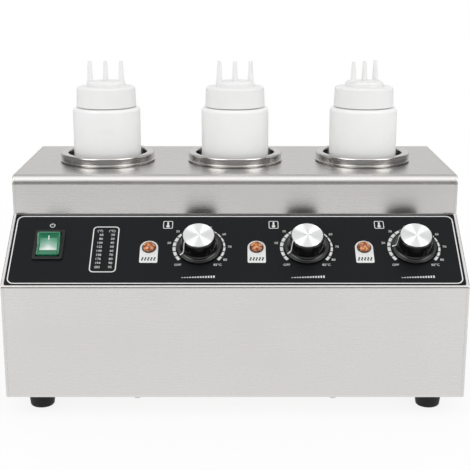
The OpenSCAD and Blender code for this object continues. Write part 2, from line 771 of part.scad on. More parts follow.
module thermostat_shaft(i) color("silver") {
    on_console(unit_xs[i], control_w) rotate(-pointer_angles[i]) difference() {
        translate([0, 0, thermo_rear_z + 5.2])
            cylinder(d = shaft_d, h = knob_z + knob_bore_len - 0.5 - thermo_rear_z - 5.2);
        translate([-shaft_d, -shaft_d / 2 - shaft_d + shaft_flat, knob_z])
            cube([2 * shaft_d, shaft_d, knob_bore_len]);
    }
}

// Phenolic knob: thin skirt, slightly tapered hub and a bore with a flat for the shaft.
module knob(i) color("#151515") {
    hub_r = knob_hub_d / 2;
    top_r = knob_top_d / 2;
    bore_r = shaft_d / 2 + shaft_gap;
    on_console(unit_xs[i], control_w) translate([0, 0, knob_z]) rotate(-pointer_angles[i]) difference() {
        rotate_extrude() polygon(concat(
            [[0, 0], [knob_skirt_d / 2, 0]],
            arc([knob_skirt_d / 2 - skirt_edge_r, skirt_t - skirt_edge_r], skirt_edge_r, 0, 90, 4),
            arc([hub_r + hub_fillet_r, skirt_t + hub_fillet_r], hub_fillet_r, 270, 180, 4),
            [[top_r + 0.6, knob_h - 1.2], [top_r, knob_h - 0.4], [knob_disc_d / 2 + 0.2, knob_h - 0.2],
                [0, knob_h - 0.2]]));
        translate([0, 0, knob_h - disc_sink - 0.2]) cylinder(r = knob_disc_d / 2 + 0.1, h = 5);
        difference() {
            translate([0, 0, -through]) cylinder(r = bore_r, h = knob_bore_len + through);
            translate([-shaft_d, -bore_r - shaft_d + shaft_flat, -2 * through])
                cube([2 * shaft_d, shaft_d, knob_bore_len + 4 * through]);
        }
        difference() {
            translate([0, 0, -through]) cylinder(r = knob_hollow_r, h = knob_hollow_h + through);
            translate([0, 0, -2 * through]) cylinder(r = knob_boss_r, h = knob_hollow_h + 4 * through);
        }
    }
}

module knob_disc(x) color("whitesmoke") {
    on_console(x, control_w) translate([0, 0, knob_z + knob_h - disc_sink - 0.2])
        cylinder(d = knob_disc_d, h = disc_t);
}

module lamp_lens(x) color("#d0702a") {
    cap_r = (lamp_dome_r * lamp_dome_r + lamp_dome_h * lamp_dome_h) / (2 * lamp_dome_h);
    on_console(x - lamp_offset, control_w) translate([0, 0, plate_t]) {
        cylinder(r = lamp_rim_r, h = lamp_rim_h);
        intersection() {
            translate([0, 0, lamp_rim_h + lamp_dome_h - cap_r]) sphere(cap_r);
            cylinder(r = lamp_dome_r, h = lamp_rim_h + lamp_dome_h + through);
        }
    }
}

// Lamp bodies behind the console, each with its hexagon nut and two blades.
module lamp_holders() color("#d9d9d9") {
    for (x = unit_xs) on_console(x - lamp_offset, control_w) {
        translate([0, 0, -lamp_body_len]) cylinder(r = lamp_body_r, h = lamp_body_len + plate_t);
        translate([0, 0, -sheet_t - lamp_nut_h]) cylinder(r = lamp_nut_r, h = lamp_nut_h, $fn = 6);
        for (s = [-1, 1]) translate([s * 3 - 0.4, -1.4, -lamp_body_len - 6]) cube([0.8, 2.8, 7]);
    }
}

// Switch body: bezel, walled well for the rocker, pivot holes and blades at the back.
module switch_housing() color("#111111") {
    on_console(-switch_x, switch_w) difference() {
        union() {
            translate([0, 0, plate_t]) linear_extrude(bezel_h)
                round_rect_2d(bezel_w, bezel_len, bezel_corner_r);
            translate([-housing_w / 2, -housing_len / 2, -housing_t])
                cube([housing_w, housing_len, housing_t + plate_t]);
            for (y = [-10, 0, 10], s = [-1, 1]) translate([s * 6 - 0.4, y - 3, -housing_t - blade_len])
                cube([0.8, 6, blade_len + 1]);
        }
        translate([-opening_w / 2, -opening_len / 2, pivot_z - rocker_depth - 3])
            cube([opening_w, opening_len, housing_t]);
        translate([-opening_w / 2 - pivot_len - 0.1, 0, pivot_z]) rotate([0, 90, 0])
            cylinder(r = pivot_r + shaft_gap, h = opening_w + 2 * pivot_len + 0.2);
    }
}

// Green rocker, tipped so that its lower half is pressed.
module switch_rocker() color("#0f7a58") {
    end = rocker_half * [cos(rocker_tilt), sin(rocker_tilt)] + [0, rocker_crown];
    on_console(-switch_x, switch_w) translate([0, 0, pivot_z]) rotate([rocker_tilt, 0, 0]) {
        rotate([90, 0, 90]) translate([0, 0, -rocker_w / 2]) linear_extrude(rocker_w) polygon([
            [0, rocker_crown], [-end[0], end[1]], [-end[0] + 1, -2], [-5, -rocker_depth],
            [5, -rocker_depth], [end[0] - 1, -2], [end[0], end[1]]]);
        translate([-rocker_w / 2 - pivot_len, 0, 0]) rotate([0, 90, 0])
            cylinder(r = pivot_r, h = rocker_w + 2 * pivot_len);
    }
}

// Ceramic terminal block on the base, with a wire port and a screw for each pole.
module terminal_block() color("#efece2") {
    length = block_poles * pole_pitch + 6;
    translate([block_x - length / 2, block_y - block_w / 2, base_z + sheet_t]) difference() {
        cube([length, block_w, block_h]);
        for (i = [0 : block_poles - 1]) translate([3 + (i + 0.5) * pole_pitch, 0, 0]) {
            translate([0, -through, block_h / 2]) rotate([-90, 0, 0])
                cylinder(r = pole_r, h = pole_depth + through);
            translate([0, block_w / 2, block_h - 4]) cylinder(r = pole_r, h = 5);
        }
    }
}

function pole_port(i) =
    [block_x - block_poles * pole_pitch / 2 + (i + 0.5) * pole_pitch,
        block_y - block_w / 2 + pole_depth - lead_gap, base_z + sheet_t + block_h / 2];

module earth_stud() color("#c8a24a") {
    translate([-casing_w / 2 + foot_side_inset, (front_y + rear_y) / 2 + 20, base_z + sheet_t]) {
        cylinder(r = 5, h = 1);
        cylinder(r = 2, h = 14);
        translate([0, 0, 1]) cylinder(r = 4.2, h = 3.2, $fn = 6);
        translate([0, 0, 6.4]) cylinder(r = 4.2, h = 3.2, $fn = 6);
    }
}

// Nylon gland for the mains cord, with its compression cap outside and its thread inside.
module cord_gland() color("#1b1b1b") {
    translate([gland_x, rear_y, base_z + gland_z]) rotate([-90, 0, 0]) difference() {
        union() {
            cylinder(r = gland_hex_r, h = gland_hex_h, $fn = 6);
            translate([0, 0, gland_hex_h])
                cylinder(r = gland_cap_r, h = gland_out - gland_hex_h - gland_tip_h);
            translate([0, 0, gland_out - gland_tip_h])
                cylinder(r1 = gland_cap_r, r2 = gland_tip_r, h = gland_tip_h);
            translate([0, 0, -gland_thread_len]) cylinder(r = gland_thread_r, h = gland_thread_len);
        }
        translate([0, 0, -gland_thread_len - through])
            cylinder(d = gland_bore_d, h = gland_thread_len + gland_out + 2 * through);
    }
}

module gland_locknut() color("#1b1b1b") {
    translate([gland_x, rear_y - sheet_t, base_z + gland_z]) rotate([90, 0, 0]) difference() {
        cylinder(r = gland_hex_r + 0.6, h = locknut_h, $fn = 6);
        translate([0, 0, -through]) cylinder(r = gland_thread_r + 0.1, h = locknut_h + 2 * through);
    }
}

// Ends of the leads: the blades of the thermostats and the switch, and the heaters' studs.
function blade_end(i, s) =
    console_point(unit_xs[i] + s * blade_x, control_w, thermo_rear_z - blade_len - lead_gap);
function switch_end(s, y) = console_point(-switch_x + s * 6, switch_w + y, -housing_t - blade_len - lead_gap);
function stud_end(i, s) =
    [well_xs[i] + s * (heater_r + heater_t + stud_len) * sin(stud_a),
        well_y - (heater_r + heater_t + stud_len) * cos(stud_a) - lead_gap, stud_z];
behind = [0, sin(slope_a), -cos(slope_a)];

module lead(points) tube(smooth(points, 4), lead_r, lead_sides);

// Mains leads: switch to thermostats, thermostats to heaters, heaters and switch to the block.
module wiring_harness() color("#7a2f2a") {
    loft_z = base_z + 62;
    for (i = [0 : 2]) {
        a = blade_end(i, 1);
        b = stud_end(i, 1);
        c = stud_end(i, -1);
        d = pole_port(i + 1);
        lead([a, a + 12 * behind, [(a[0] + b[0]) / 2, (a[1] + b[1]) / 2 - 6, loft_z + 12],
            b + [0, -8, -14], b + [0, -5, -1], b]);
        lead([c, c + [0, -5, -1], c + [0, -8, -20], [c[0], c[1] + 20, loft_z - 22],
            [d[0], d[1] - 34, base_z + 24 + 5 * i], d + [0, -14, 0.6], d + [0, -6, 0], d]);
    }
    for (i = [0 : 2]) {
        a = switch_end(i == 1 ? -1 : 1, 10 * (i - 1));
        b = blade_end(i, -1);
        lead([a, a + 10 * behind, a + [12, 10, -45 - 7 * i],
            [(a[0] + b[0]) / 2, a[1] - 2, loft_z + 4 - 7 * i], b + [-6, 0, -30], b + 10 * behind, b]);
    }
    e = switch_end(-1, 10);
    f = pole_port(0);
    lead([e, e + 10 * behind, e + [-2, 30, -60], f + [-4, -40, 20],
        f + [0, -14, 0.6], f + [0, -6, 0], f]);
}

// Blow-moulded bottle, open at the neck, with ring threads.
module bottle(x) color("#f2f2f0") {
    neck_foot_r = neck_r + 3.7;
    translate([x, well_y, bottle_z]) rotate_extrude() {
        difference() {
            bottle_2d(0, neck_foot_r);
            bottle_2d(bottle_wall, neck_foot_r);
            translate([0, neck_top - through]) square([neck_r - bottle_wall, 3 * through]);
        }
        for (k = [1 : 3]) translate([neck_r, neck_top - 3.5 * k - 1]) circle(thread_r);
    }
}

// Half outline of the bottle, drawn in by a wall.
module bottle_2d(d, neck_foot_r) {
    shoulder_r = bottle_r - neck_foot_r;
    union() {
        translate([0, d]) cup_2d(bottle_r - d, bottle_body_h - d, bottle_foot_r);
        intersection() {
            translate([neck_foot_r - d, bottle_body_h - d]) circle(shoulder_r);
            translate([0, bottle_body_h - d - 1]) square([bottle_r, shoulder_h]);
        }
        translate([0, bottle_body_h - d - 1]) square([neck_foot_r - d, shoulder_h]);
        translate([0, bottle_body_h - d]) square([neck_r - d, neck_top - bottle_body_h + d]);
    }
}

// Screw cap with a raised middle and three open nozzles in a row.
module bottle_cap(i) color("#f2f2f0") {
    foot_r = cap_d / 2;
    top_r = foot_r - cap_taper;
    boss_r = cap_boss_d / 2;
    translate([well_xs[i], well_y, bottle_z]) rotate(nozzle_turns[i]) difference() {
        union() {
            rotate_extrude() polygon(concat(
                [[0, cap_z], [foot_r, cap_z]],
                arc([top_r - cap_edge_r, cap_top - cap_edge_r], cap_edge_r, 0, 90, 6),
                [[boss_r + 0.8, cap_top]],
                arc([boss_r - boss_edge_r, boss_top - boss_edge_r], boss_edge_r, 0, 90, 6),
                [[0, boss_top]]));
            for (k = [-1 : 1]) translate([k * nozzle_pitch, 0, boss_top - cap_wall / 2])
                cylinder(d1 = nozzle_foot_d, d2 = nozzle_tip_d, h = nozzle_len + cap_wall / 2);
        }
        translate([0, 0, cap_z - through]) cylinder(r = cap_inner_r, h = cap_h - cap_wall + through);
        translate([0, 0, cap_top - cap_wall - through])
            cylinder(r = boss_r - cap_wall, h = cap_boss_h + through);
        for (k = [-1 : 1]) translate([k * nozzle_pitch, 0, boss_top - 2 * cap_wall])
            cylinder(r = nozzle_bore_r, h = nozzle_len + 3 * cap_wall);
    }
}

top_deck();
front_panel();
console_plate();
mirror([1, 0, 0]) side_panel();  // left_side_panel
side_panel();  // right_side_panel
rear_panel();
base_plate();
foot(foot_places[0]);  // foot_front_left
foot(foot_places[1]);  // foot_front_right
foot(foot_places[2]);  // foot_rear_left
foot(foot_places[3]);  // foot_rear_right
foot_screws();
rear_panel_screws();
base_plate_screws();
well_pot(well_xs[0]);  // well_pot_left
well_pot(well_xs[1]);  // well_pot_middle
well_pot(well_xs[2]);  // well_pot_right
well_collar(well_xs[0]);  // well_collar_left
well_collar(well_xs[1]);  // well_collar_middle
well_collar(well_xs[2]);  // well_collar_right
heater_band(well_xs[0]);  // heater_band_left
heater_band(well_xs[1]);  // heater_band_middle
heater_band(well_xs[2]);  // heater_band_right
heater_clamp_screws();
insulation_sleeves();
sensor_clips();
sensor_bulb(0);  // sensor_bulb_left
sensor_bulb(1);  // sensor_bulb_middle
sensor_bulb(2);  // sensor_bulb_right
thermostat(unit_xs[0]);  // thermostat_left
thermostat(unit_xs[1]);  // thermostat_middle
thermostat(unit_xs[2]);  // thermostat_right
thermostat_screws();
lamp_lens(unit_xs[0]);  // lamp_lens_left
lamp_lens(unit_xs[1]);  // lamp_lens_middle
lamp_lens(unit_xs[2]);  // lamp_lens_right
lamp_holders();
switch_housing();
terminal_block();
earth_stud();
cord_gland();
gland_locknut();
wiring_harness();
switch_rocker();
thermostat_shaft(0);  // thermostat_shaft_left
thermostat_shaft(1);  // thermostat_shaft_middle
thermostat_shaft(2);  // thermostat_shaft_right
knob(0);  // knob_left
knob(1);  // knob_middle
knob(2);  // knob_right
knob_disc(unit_xs[0]);  // knob_disc_left
knob_disc(unit_xs[1]);  // knob_disc_middle
knob_disc(unit_xs[2]);  // knob_disc_right
bottle(well_xs[0]);  // bottle_left
bottle(well_xs[1]);  // bottle_middle
bottle(well_xs[2]);  // bottle_right
bottle_cap(0);  // bottle_cap_left
bottle_cap(1);  // bottle_cap_middle
bottle_cap(2);  // bottle_cap_right
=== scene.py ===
import json
import math

import bpy
from mathutils import Matrix, Vector


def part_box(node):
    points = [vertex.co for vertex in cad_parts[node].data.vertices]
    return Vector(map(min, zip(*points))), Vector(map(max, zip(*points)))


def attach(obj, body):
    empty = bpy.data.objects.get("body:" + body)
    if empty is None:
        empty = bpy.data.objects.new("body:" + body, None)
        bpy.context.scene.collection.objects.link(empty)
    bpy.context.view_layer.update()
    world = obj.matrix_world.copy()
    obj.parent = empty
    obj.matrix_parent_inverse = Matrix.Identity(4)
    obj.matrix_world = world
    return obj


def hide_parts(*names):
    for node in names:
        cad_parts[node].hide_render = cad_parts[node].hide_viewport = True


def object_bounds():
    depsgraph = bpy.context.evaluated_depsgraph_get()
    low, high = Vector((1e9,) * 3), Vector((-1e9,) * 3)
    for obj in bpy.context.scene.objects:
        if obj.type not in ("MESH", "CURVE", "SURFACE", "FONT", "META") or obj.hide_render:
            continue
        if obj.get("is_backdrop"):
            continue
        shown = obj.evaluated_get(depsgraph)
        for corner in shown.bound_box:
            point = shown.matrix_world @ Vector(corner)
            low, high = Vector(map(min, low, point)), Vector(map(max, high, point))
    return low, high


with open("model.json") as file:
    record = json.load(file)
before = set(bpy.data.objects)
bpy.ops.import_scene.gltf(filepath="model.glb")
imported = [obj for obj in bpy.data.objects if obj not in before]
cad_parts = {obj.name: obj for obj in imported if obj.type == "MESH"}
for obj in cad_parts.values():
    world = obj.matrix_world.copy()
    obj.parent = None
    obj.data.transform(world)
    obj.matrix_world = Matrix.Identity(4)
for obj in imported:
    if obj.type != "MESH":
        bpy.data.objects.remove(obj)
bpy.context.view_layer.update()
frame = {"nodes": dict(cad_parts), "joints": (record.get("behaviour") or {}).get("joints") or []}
nodes = frame["nodes"]
joints = {joint["name"]: joint for joint in frame["joints"]}
mm = 0.001
bpy.ops.object.select_all(action="DESELECT")


# Casing: the top deck and the front, side, rear and base panels, folded from 1 mm stainless
# sheet on a press brake and screwed together inside. The sheet has a level brushed grain.
def linear(hex_colour):
    """The linear colour of an sRGB hex value."""
    shares = [int(hex_colour[i:i + 2], 16) / 255 for i in (1, 3, 5)]
    return [s / 12.92 if s <= 0.04045 else ((s + 0.055) / 1.055) ** 2.4 for s in shares] + [1.0]


def wire(tree, node, inputs):
    """Sets each input of a node to a value, or links it to another node's output."""
    for name, value in inputs.items():
        if isinstance(value, bpy.types.NodeSocket):
            tree.links.new(value, node.inputs[name])
        else:
            node.inputs[name].default_value = value
    return node


def add(tree, kind, inputs, **settings):
    """Adds a node with its settings and links."""
    node = tree.nodes.new(kind)
    for name, value in settings.items():
        setattr(node, name, value)
    return wire(tree, node, inputs)


def new_material(name):
    """A new material, its node tree and its shader."""
    material = bpy.data.materials.new(name)
    material.use_nodes = True
    return material, material.node_tree, material.node_tree.nodes["Principled BSDF"]


def dress(node, material):
    """Gives a CAD node its finish."""
    for place in nodes[node].material_slots:
        place.material = material


def brushed_stainless(name, grain, scatter):
    """Stainless steel brushed with an abrasive belt: a mirror drawn out across its fine grain."""
    material, tree, shader = new_material(name)
    place = add(tree, "ShaderNodeTexCoord", {}).outputs["Object"]
    along = add(tree, "ShaderNodeMapping", {"Vector": place, "Scale": grain})
    lines = add(tree, "ShaderNodeTexNoise", {"Vector": along.outputs[0], "Scale": 1.0, "Detail": 4.0})
    # Smudges of about 60 mm, as handling leaves them on polished sheet.
    smudges = add(tree, "ShaderNodeTexNoise", {"Vector": place, "Scale": 16.0, "Detail": 2.0})
    tone = add(tree, "ShaderNodeMix", {"Factor": lines.outputs["Fac"],
               6: linear("#D4D2D0"), 7: linear("#D8D6D4")}, data_type="RGBA")
    fine = add(tree, "ShaderNodeMapRange", {"Value": lines.outputs["Fac"], "From Min": 0.3,
               "From Max": 0.7, "To Min": 0.24, "To Max": 0.26})
    rough = add(tree, "ShaderNodeMath", {0: smudges.outputs["Fac"], 1: 0.05, 2: fine.outputs[0]},
                operation="MULTIPLY_ADD")
    ridges = add(tree, "ShaderNodeBump", {"Height": lines.outputs["Fac"], "Strength": 0.12,
                 "Distance": 0.005 * mm})
    across = add(tree, "ShaderNodeCombineXYZ", dict(zip("XYZ", scatter)))
    wire(tree, shader, {"Base Color": tone.outputs[2], "Metallic": 1.0, "Roughness": rough.outputs[0],
         "Anisotropic": 0.75, "Tangent": across.outputs[0], "Normal": ridges.outputs[0]})
    return material


# The belt's lines are 0.1 mm wide. At 1.2 mm they are as coarse as the picture needs.
grain_width = 1.2 * mm
grain_length = 90 * mm
level_grain = brushed_stainless("brushed stainless sheet",
                                (1 / grain_length, 1 / grain_width, 1 / grain_width), (0, 1, 1))
side_grain = brushed_stainless("brushed stainless side sheet",
                               (1 / grain_width, 1 / grain_length, 1 / grain_width), (0, 0.1, 1))
for panel in ("top_deck", "front_panel", "rear_panel", "base_plate"):
    dress(panel, level_grain)
for panel in ("left_side_panel", "right_side_panel"):
    dress(panel, side_grain)


# Screws: M4 pan heads of zinc-plated steel that hold the rear panel, the base and the inner
# parts. The plating is thin, blue-white and slightly cloudy.
zinc, tree, shader = new_material("bright zinc plating")
place = add(tree, "ShaderNodeTexCoord", {}).outputs["Object"]
cloud = add(tree, "ShaderNodeTexNoise", {"Vector": place, "Scale": 900.0, "Detail": 3.0})
tone = add(tree, "ShaderNodeMix", {"Factor": cloud.outputs["Fac"], 6: linear("#AEB3B8"),
           7: linear("#CDD0D2")}, data_type="RGBA")
rough = add(tree, "ShaderNodeMapRange", {"Value": cloud.outputs["Fac"], "To Min": 0.22, "To Max": 0.42})
wire(tree, shader, {"Base Color": tone.outputs[2], "Metallic": 1.0, "Roughness": rough.outputs[0]})
for screws in ("foot_screws", "rear_panel_screws", "base_plate_screws", "heater_clamp_screws",
               "thermostat_screws"):
    dress(screws, zinc)


# Feet: four tapered feet moulded in black rubber, each held by a screw up its middle.
# The rubber is dull, with a fine bloom of grey.
rubber, tree, shader = new_material("moulded black rubber")
place = add(tree, "ShaderNodeTexCoord", {}).outputs["Object"]
bloom = add(tree, "ShaderNodeTexNoise", {"Vector": place, "Scale": 220.0, "Detail": 4.0})
grit = add(tree, "ShaderNodeTexNoise", {"Vector": place, "Scale": 2500.0, "Detail": 2.0})
tone = add(tree, "ShaderNodeMix", {"Factor": bloom.outputs["Fac"], 6: linear("#101010"),
           7: linear("#1C1C1C")}, data_type="RGBA")
rough = add(tree, "ShaderNodeMapRange", {"Value": bloom.outputs["Fac"], "To Min": 0.5, "To Max": 0.75})
skin = add(tree, "ShaderNodeBump", {"Height": grit.outputs["Fac"], "Strength": 0.3, "Distance": 0.05 * mm})
wire(tree, shader, {"Base Color": tone.outputs[2], "Roughness": rough.outputs[0],
     "Specular IOR Level": 0.3, "Normal": skin.outputs[0]})
for foot in ("foot_front_left", "foot_front_right", "foot_rear_left", "foot_rear_right"):
    dress(foot, rubber)


# Console plate: a thin steel plate with a baked satin black coat, glued on the sloped console.
# The coat has a faint orange peel.
black_coat, tree, shader = new_material("satin black stove enamel")
place = add(tree, "ShaderNodeTexCoord", {}).outputs["Object"]
peel = add(tree, "ShaderNodeTexNoise", {"Vector": place, "Scale": 700.0, "Detail": 2.0})
drift = add(tree, "ShaderNodeTexNoise", {"Vector": place, "Scale": 12.0, "Detail": 2.0})
tone = add(tree, "ShaderNodeMix", {"Factor": drift.outputs["Fac"], 6: linear("#101214"),
           7: linear("#141618")}, data_type="RGBA")
rough = add(tree, "ShaderNodeMapRange", {"Value": drift.outputs["Fac"], "To Min": 0.38, "To Max": 0.48})
skin = add(tree, "ShaderNodeBump", {"Height": peel.outputs["Fac"], "Strength": 0.15,
           "Distance": 0.02 * mm})
wire(tree, shader, {"Base Color": tone.outputs[2], "Roughness": rough.outputs[0],
     "Specular IOR Level": 0.12, "Normal": skin.outputs[0]})
dress("console_plate", black_coat)


# Print on the plate: white ink laid through a screen, in places thin enough to grey a little.
# Its places are measured from the line through the three knobs, across and up the slope.
first_dial = joints["dial_left_turn"]
out = -Vector(first_dial["axis"])
up = out.cross(Vector((1, 0, 0)))
dial_xs = [joints[f"dial_{side}_turn"]["pos_m"][0] for side in ("left", "middle", "right")]
plate_face = max(vertex.co.dot(out) for vertex in nodes["console_plate"].data.vertices)


def on_plate(x, rise=0.0, height=0.0):
    """The place on the plate's face at x, up the slope from the knobs' line and off the face."""
    middle = Vector(first_dial["pos_m"])
    middle += out * (plate_face + height - middle.dot(out)) + up * rise
    turn = Matrix(((1, 0, 0), up, out)).transposed().to_4x4()
    return Matrix.Translation((x, middle.y, middle.z)) @ turn


def rounded(corners, steps=6):
    """A closed outline through corners (x, y, radius), each rounded to its radius."""
    points = []
    for i, (x, y, radius) in enumerate(corners):
        corner = Vector((x, y))
        back = (Vector(corners[i - 1][:2]) - corner).normalized()
        on = (Vector(corners[(i + 1) % len(corners)][:2]) - corner).normalized()
        if radius == 0:
            points.append(corner)
            continue
        half = back.angle(on) / 2
        centre = corner + (back + on).normalized() * radius / math.sin(half)
        start = corner + back * radius / math.tan(half) - centre
        sweep = (math.pi - 2 * half) * (1 if back.x * on.y - back.y * on.x < 0 else -1)
        for step in range(steps + 1):
            turn = Matrix.Rotation(sweep * step / steps, 2)
            points.append(centre + turn @ start)
    return points


def patch(outline):
    """A flat patch with this outline."""
    bpy.ops.mesh.primitive_circle_add(vertices=len(outline), fill_type="NGON")
    piece = bpy.context.object
    for vertex, (x, y) in zip(piece.data.vertices, outline):
        vertex.co = x, y, 0
    return piece


def box_outline(x, y, width, height, radius=0.0):
    """The outline of a box about (x, y), with its corners rounded."""
    return rounded([(x + sx * width / 2, y + sy * height / 2, radius)
                    for sx, sy in ((-1, -1), (1, -1), (1, 1), (-1, 1))])


def line_round(outline, width):
    """A flat line of this width along the inside of an outline."""
    piece = patch(outline)
    bpy.ops.object.mode_set(mode="EDIT")
    bpy.ops.mesh.select_all(action="SELECT")
    bpy.ops.mesh.inset(thickness=width)
    bpy.ops.mesh.delete(type="FACE")
    bpy.ops.object.mode_set(mode="OBJECT")
    return piece


def select_faces(piece, wanted):
    """Enters edit mode with only the wanted faces selected."""
    bpy.ops.object.mode_set(mode="EDIT")
    bpy.ops.mesh.select_mode(type="FACE")
    bpy.ops.mesh.select_all(action="DESELECT")
    bpy.ops.object.mode_set(mode="OBJECT")
    for face in piece.data.polygons:
        face.select = wanted(face)
    bpy.ops.object.mode_set(mode="EDIT")


def select_edges(piece, wanted):
    """Enters edit mode with only the edges selected whose two ends are as wanted."""
    bpy.ops.object.select_all(action="DESELECT")
    piece.select_set(True)
    bpy.context.view_layer.objects.active = piece
    bpy.ops.object.mode_set(mode="EDIT")
    bpy.ops.mesh.select_mode(type="EDGE")
    bpy.ops.mesh.select_all(action="DESELECT")
    bpy.ops.object.mode_set(mode="OBJECT")
    points = piece.data.vertices
    for edge in piece.data.edges:
        edge.select = wanted([points[i].co for i in edge.vertices])
    bpy.ops.object.mode_set(mode="EDIT")


def clock(point):
    """Clockwise angle of a point from twelve o'clock, in degrees."""
    return math.degrees(math.atan2(point.x, point.y))


def ring_parts(inner, outer, count, kept):
    """A flat ring of count equal parts, of which those whose clock angle is kept stay."""
    bpy.ops.mesh.primitive_circle_add(vertices=count, radius=inner, fill_type="NOTHING")
    piece = bpy.context.object
    bpy.ops.object.mode_set(mode="EDIT")
    bpy.ops.mesh.select_mode(type="VERT")
    bpy.ops.mesh.select_all(action="SELECT")
    bpy.ops.mesh.extrude_region_move()
    bpy.ops.transform.resize(value=(outer / inner, outer / inner, 1))
    bpy.ops.object.mode_set(mode="OBJECT")
    select_faces(piece, lambda face: not kept(clock(face.center)))
    bpy.ops.mesh.delete(type="FACE")
    bpy.ops.object.mode_set(mode="OBJECT")
    return piece


def words(text, x, y, height, align="CENTER", spacing=1.0):
    """Flat figures of this height about (x, y). A new line in the text starts a new row."""
    bpy.ops.object.text_add(location=(x, y, 0))
    piece = bpy.context.object
    piece.data.body = text
    piece.data.size = height / 0.72
    piece.data.resolution_u = 3
    piece.data.space_line = spacing
    piece.data.align_x = align
    piece.data.align_y = "CENTER"
    bpy.ops.object.convert(target="MESH")
    bpy.ops.object.transform_apply(location=True, rotation=True, scale=True)
    return bpy.context.object


def join(parts):
    """Joins parts into the first one."""
    bpy.ops.object.select_all(action="DESELECT")
    for part in parts:
        part.select_set(True)
    bpy.context.view_layer.objects.active = parts[0]
    bpy.ops.object.join()
    return bpy.context.object


def settle(piece, name, place, material, body, sharp=35):
    """Finishes a piece: its name, its place in its mesh, its shading, material and body."""
    piece.name = name
    piece.data.name = name
    piece.data.transform(place)
    piece.data.materials.clear()
    piece.data.materials.append(material)
    bpy.ops.object.select_all(action="DESELECT")
    piece.select_set(True)
    bpy.context.view_layer.objects.active = piece
    bpy.ops.object.shade_smooth_by_angle(angle=math.radians(sharp))
    piece.select_set(False)
    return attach(piece, body)


ink_t = 0.06 * mm


def print_on_plate(parts, name, x, material, rise=0.0, height=0.0):
    """Lays flat parts on the plate as one layer of ink."""
    piece = join(parts)
    bpy.ops.object.mode_set(mode="EDIT")
    bpy.ops.mesh.select_all(action="SELECT")
    bpy.ops.mesh.extrude_region_move(TRANSFORM_OT_translate={"value": (0, 0, ink_t)})
    bpy.ops.mesh.select_all(action="SELECT")
    bpy.ops.mesh.normals_make_consistent(inside=False)
    bpy.ops.object.mode_set(mode="OBJECT")
    return settle(piece, name, on_plate(x, rise, height), material, "casing")


white_ink, tree, shader = new_material("white screen ink")
place = add(tree, "ShaderNodeTexCoord", {}).outputs["Object"]
mottle = add(tree, "ShaderNodeTexNoise", {"Vector": place, "Scale": 500.0, "Detail": 3.0})
tone = add(tree, "ShaderNodeMix", {"Factor": mottle.outputs["Fac"], 6: linear("#D0D2D1"),
           7: linear("#F0F1F0")}, data_type="RGBA")
rough = add(tree, "ShaderNodeMapRange", {"Value": mottle.outputs["Fac"], "To Min": 0.4, "To Max": 0.6})
wire(tree, shader, {"Base Color": tone.outputs[2], "Roughness": rough.outputs[0]})

plate_low, plate_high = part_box("console_plate")
border_w = plate_high.x - plate_low.x - 4.4 * mm
border = line_round(box_outline(0, -1.8 * mm, border_w, 92 * mm, 7 * mm), 1.15 * mm)
print_on_plate([border], "border_print", 0, white_ink)

table_w = 27.4 * mm
table_h = 62 * mm
figure_h = 2.9 * mm
temperatures = [20, 30, 40, 50, 60, 70, 80, 90, 95]
row_gap = 5.46 * mm
head_y = 24.8 * mm
rows = len(temperatures)
fahrenheit = [round(t * 1.8 + 32) for t in temperatures]
parts = [line_round(box_outline(0, 0, table_w, table_h, 4.5 * mm), 1.1 * mm),
         words("(°F)", -6.2 * mm, head_y, figure_h), words("(°C)", 6.2 * mm, head_y, figure_h)]
for row in range(rows):
    y = head_y - (row + 1) * row_gap
    parts.append(words(str(fahrenheit[row]), -2.6 * mm, y, figure_h, "RIGHT"))
    parts.append(words(str(temperatures[row]), 9.4 * mm, y, figure_h, "RIGHT"))
print_on_plate(parts, "table_print", -134.3 * mm, white_ink, -1.9 * mm)

# The switch's place is marked with the usual sign of a ring and a bar.
sign_r = 2.1 * mm
sign = [ring_parts(sign_r, sign_r + 0.7 * mm, 48, lambda angle: abs(angle) > 32),
        patch(box_outline(0, sign_r * 0.85, 0.7 * mm, 2.6 * mm))]
print_on_plate(sign, "power_print", joints["rocker_tip"]["pos_m"][0] + 0.8 * mm, white_ink, 30.6 * mm)

# Each dial has a ring of bars that thins out at its upper right and swells towards its hot end,
# its figures, a thermometer in a frame, and a rising row of bars below.
scale_start = -129.4
bar_pitch = 3600 / 247
bar_count = 18
scale_inner = 24 * mm
scale_outer = 27.2 * mm
figure_r = 31.6 * mm
degrees_per_ten = 33.3


def is_bar(angle):
    """True on a bar, which takes eight tenths of its pitch."""
    share = (angle - scale_start) / bar_pitch
    return 0 <= share < bar_count and share % 1 < 0.8


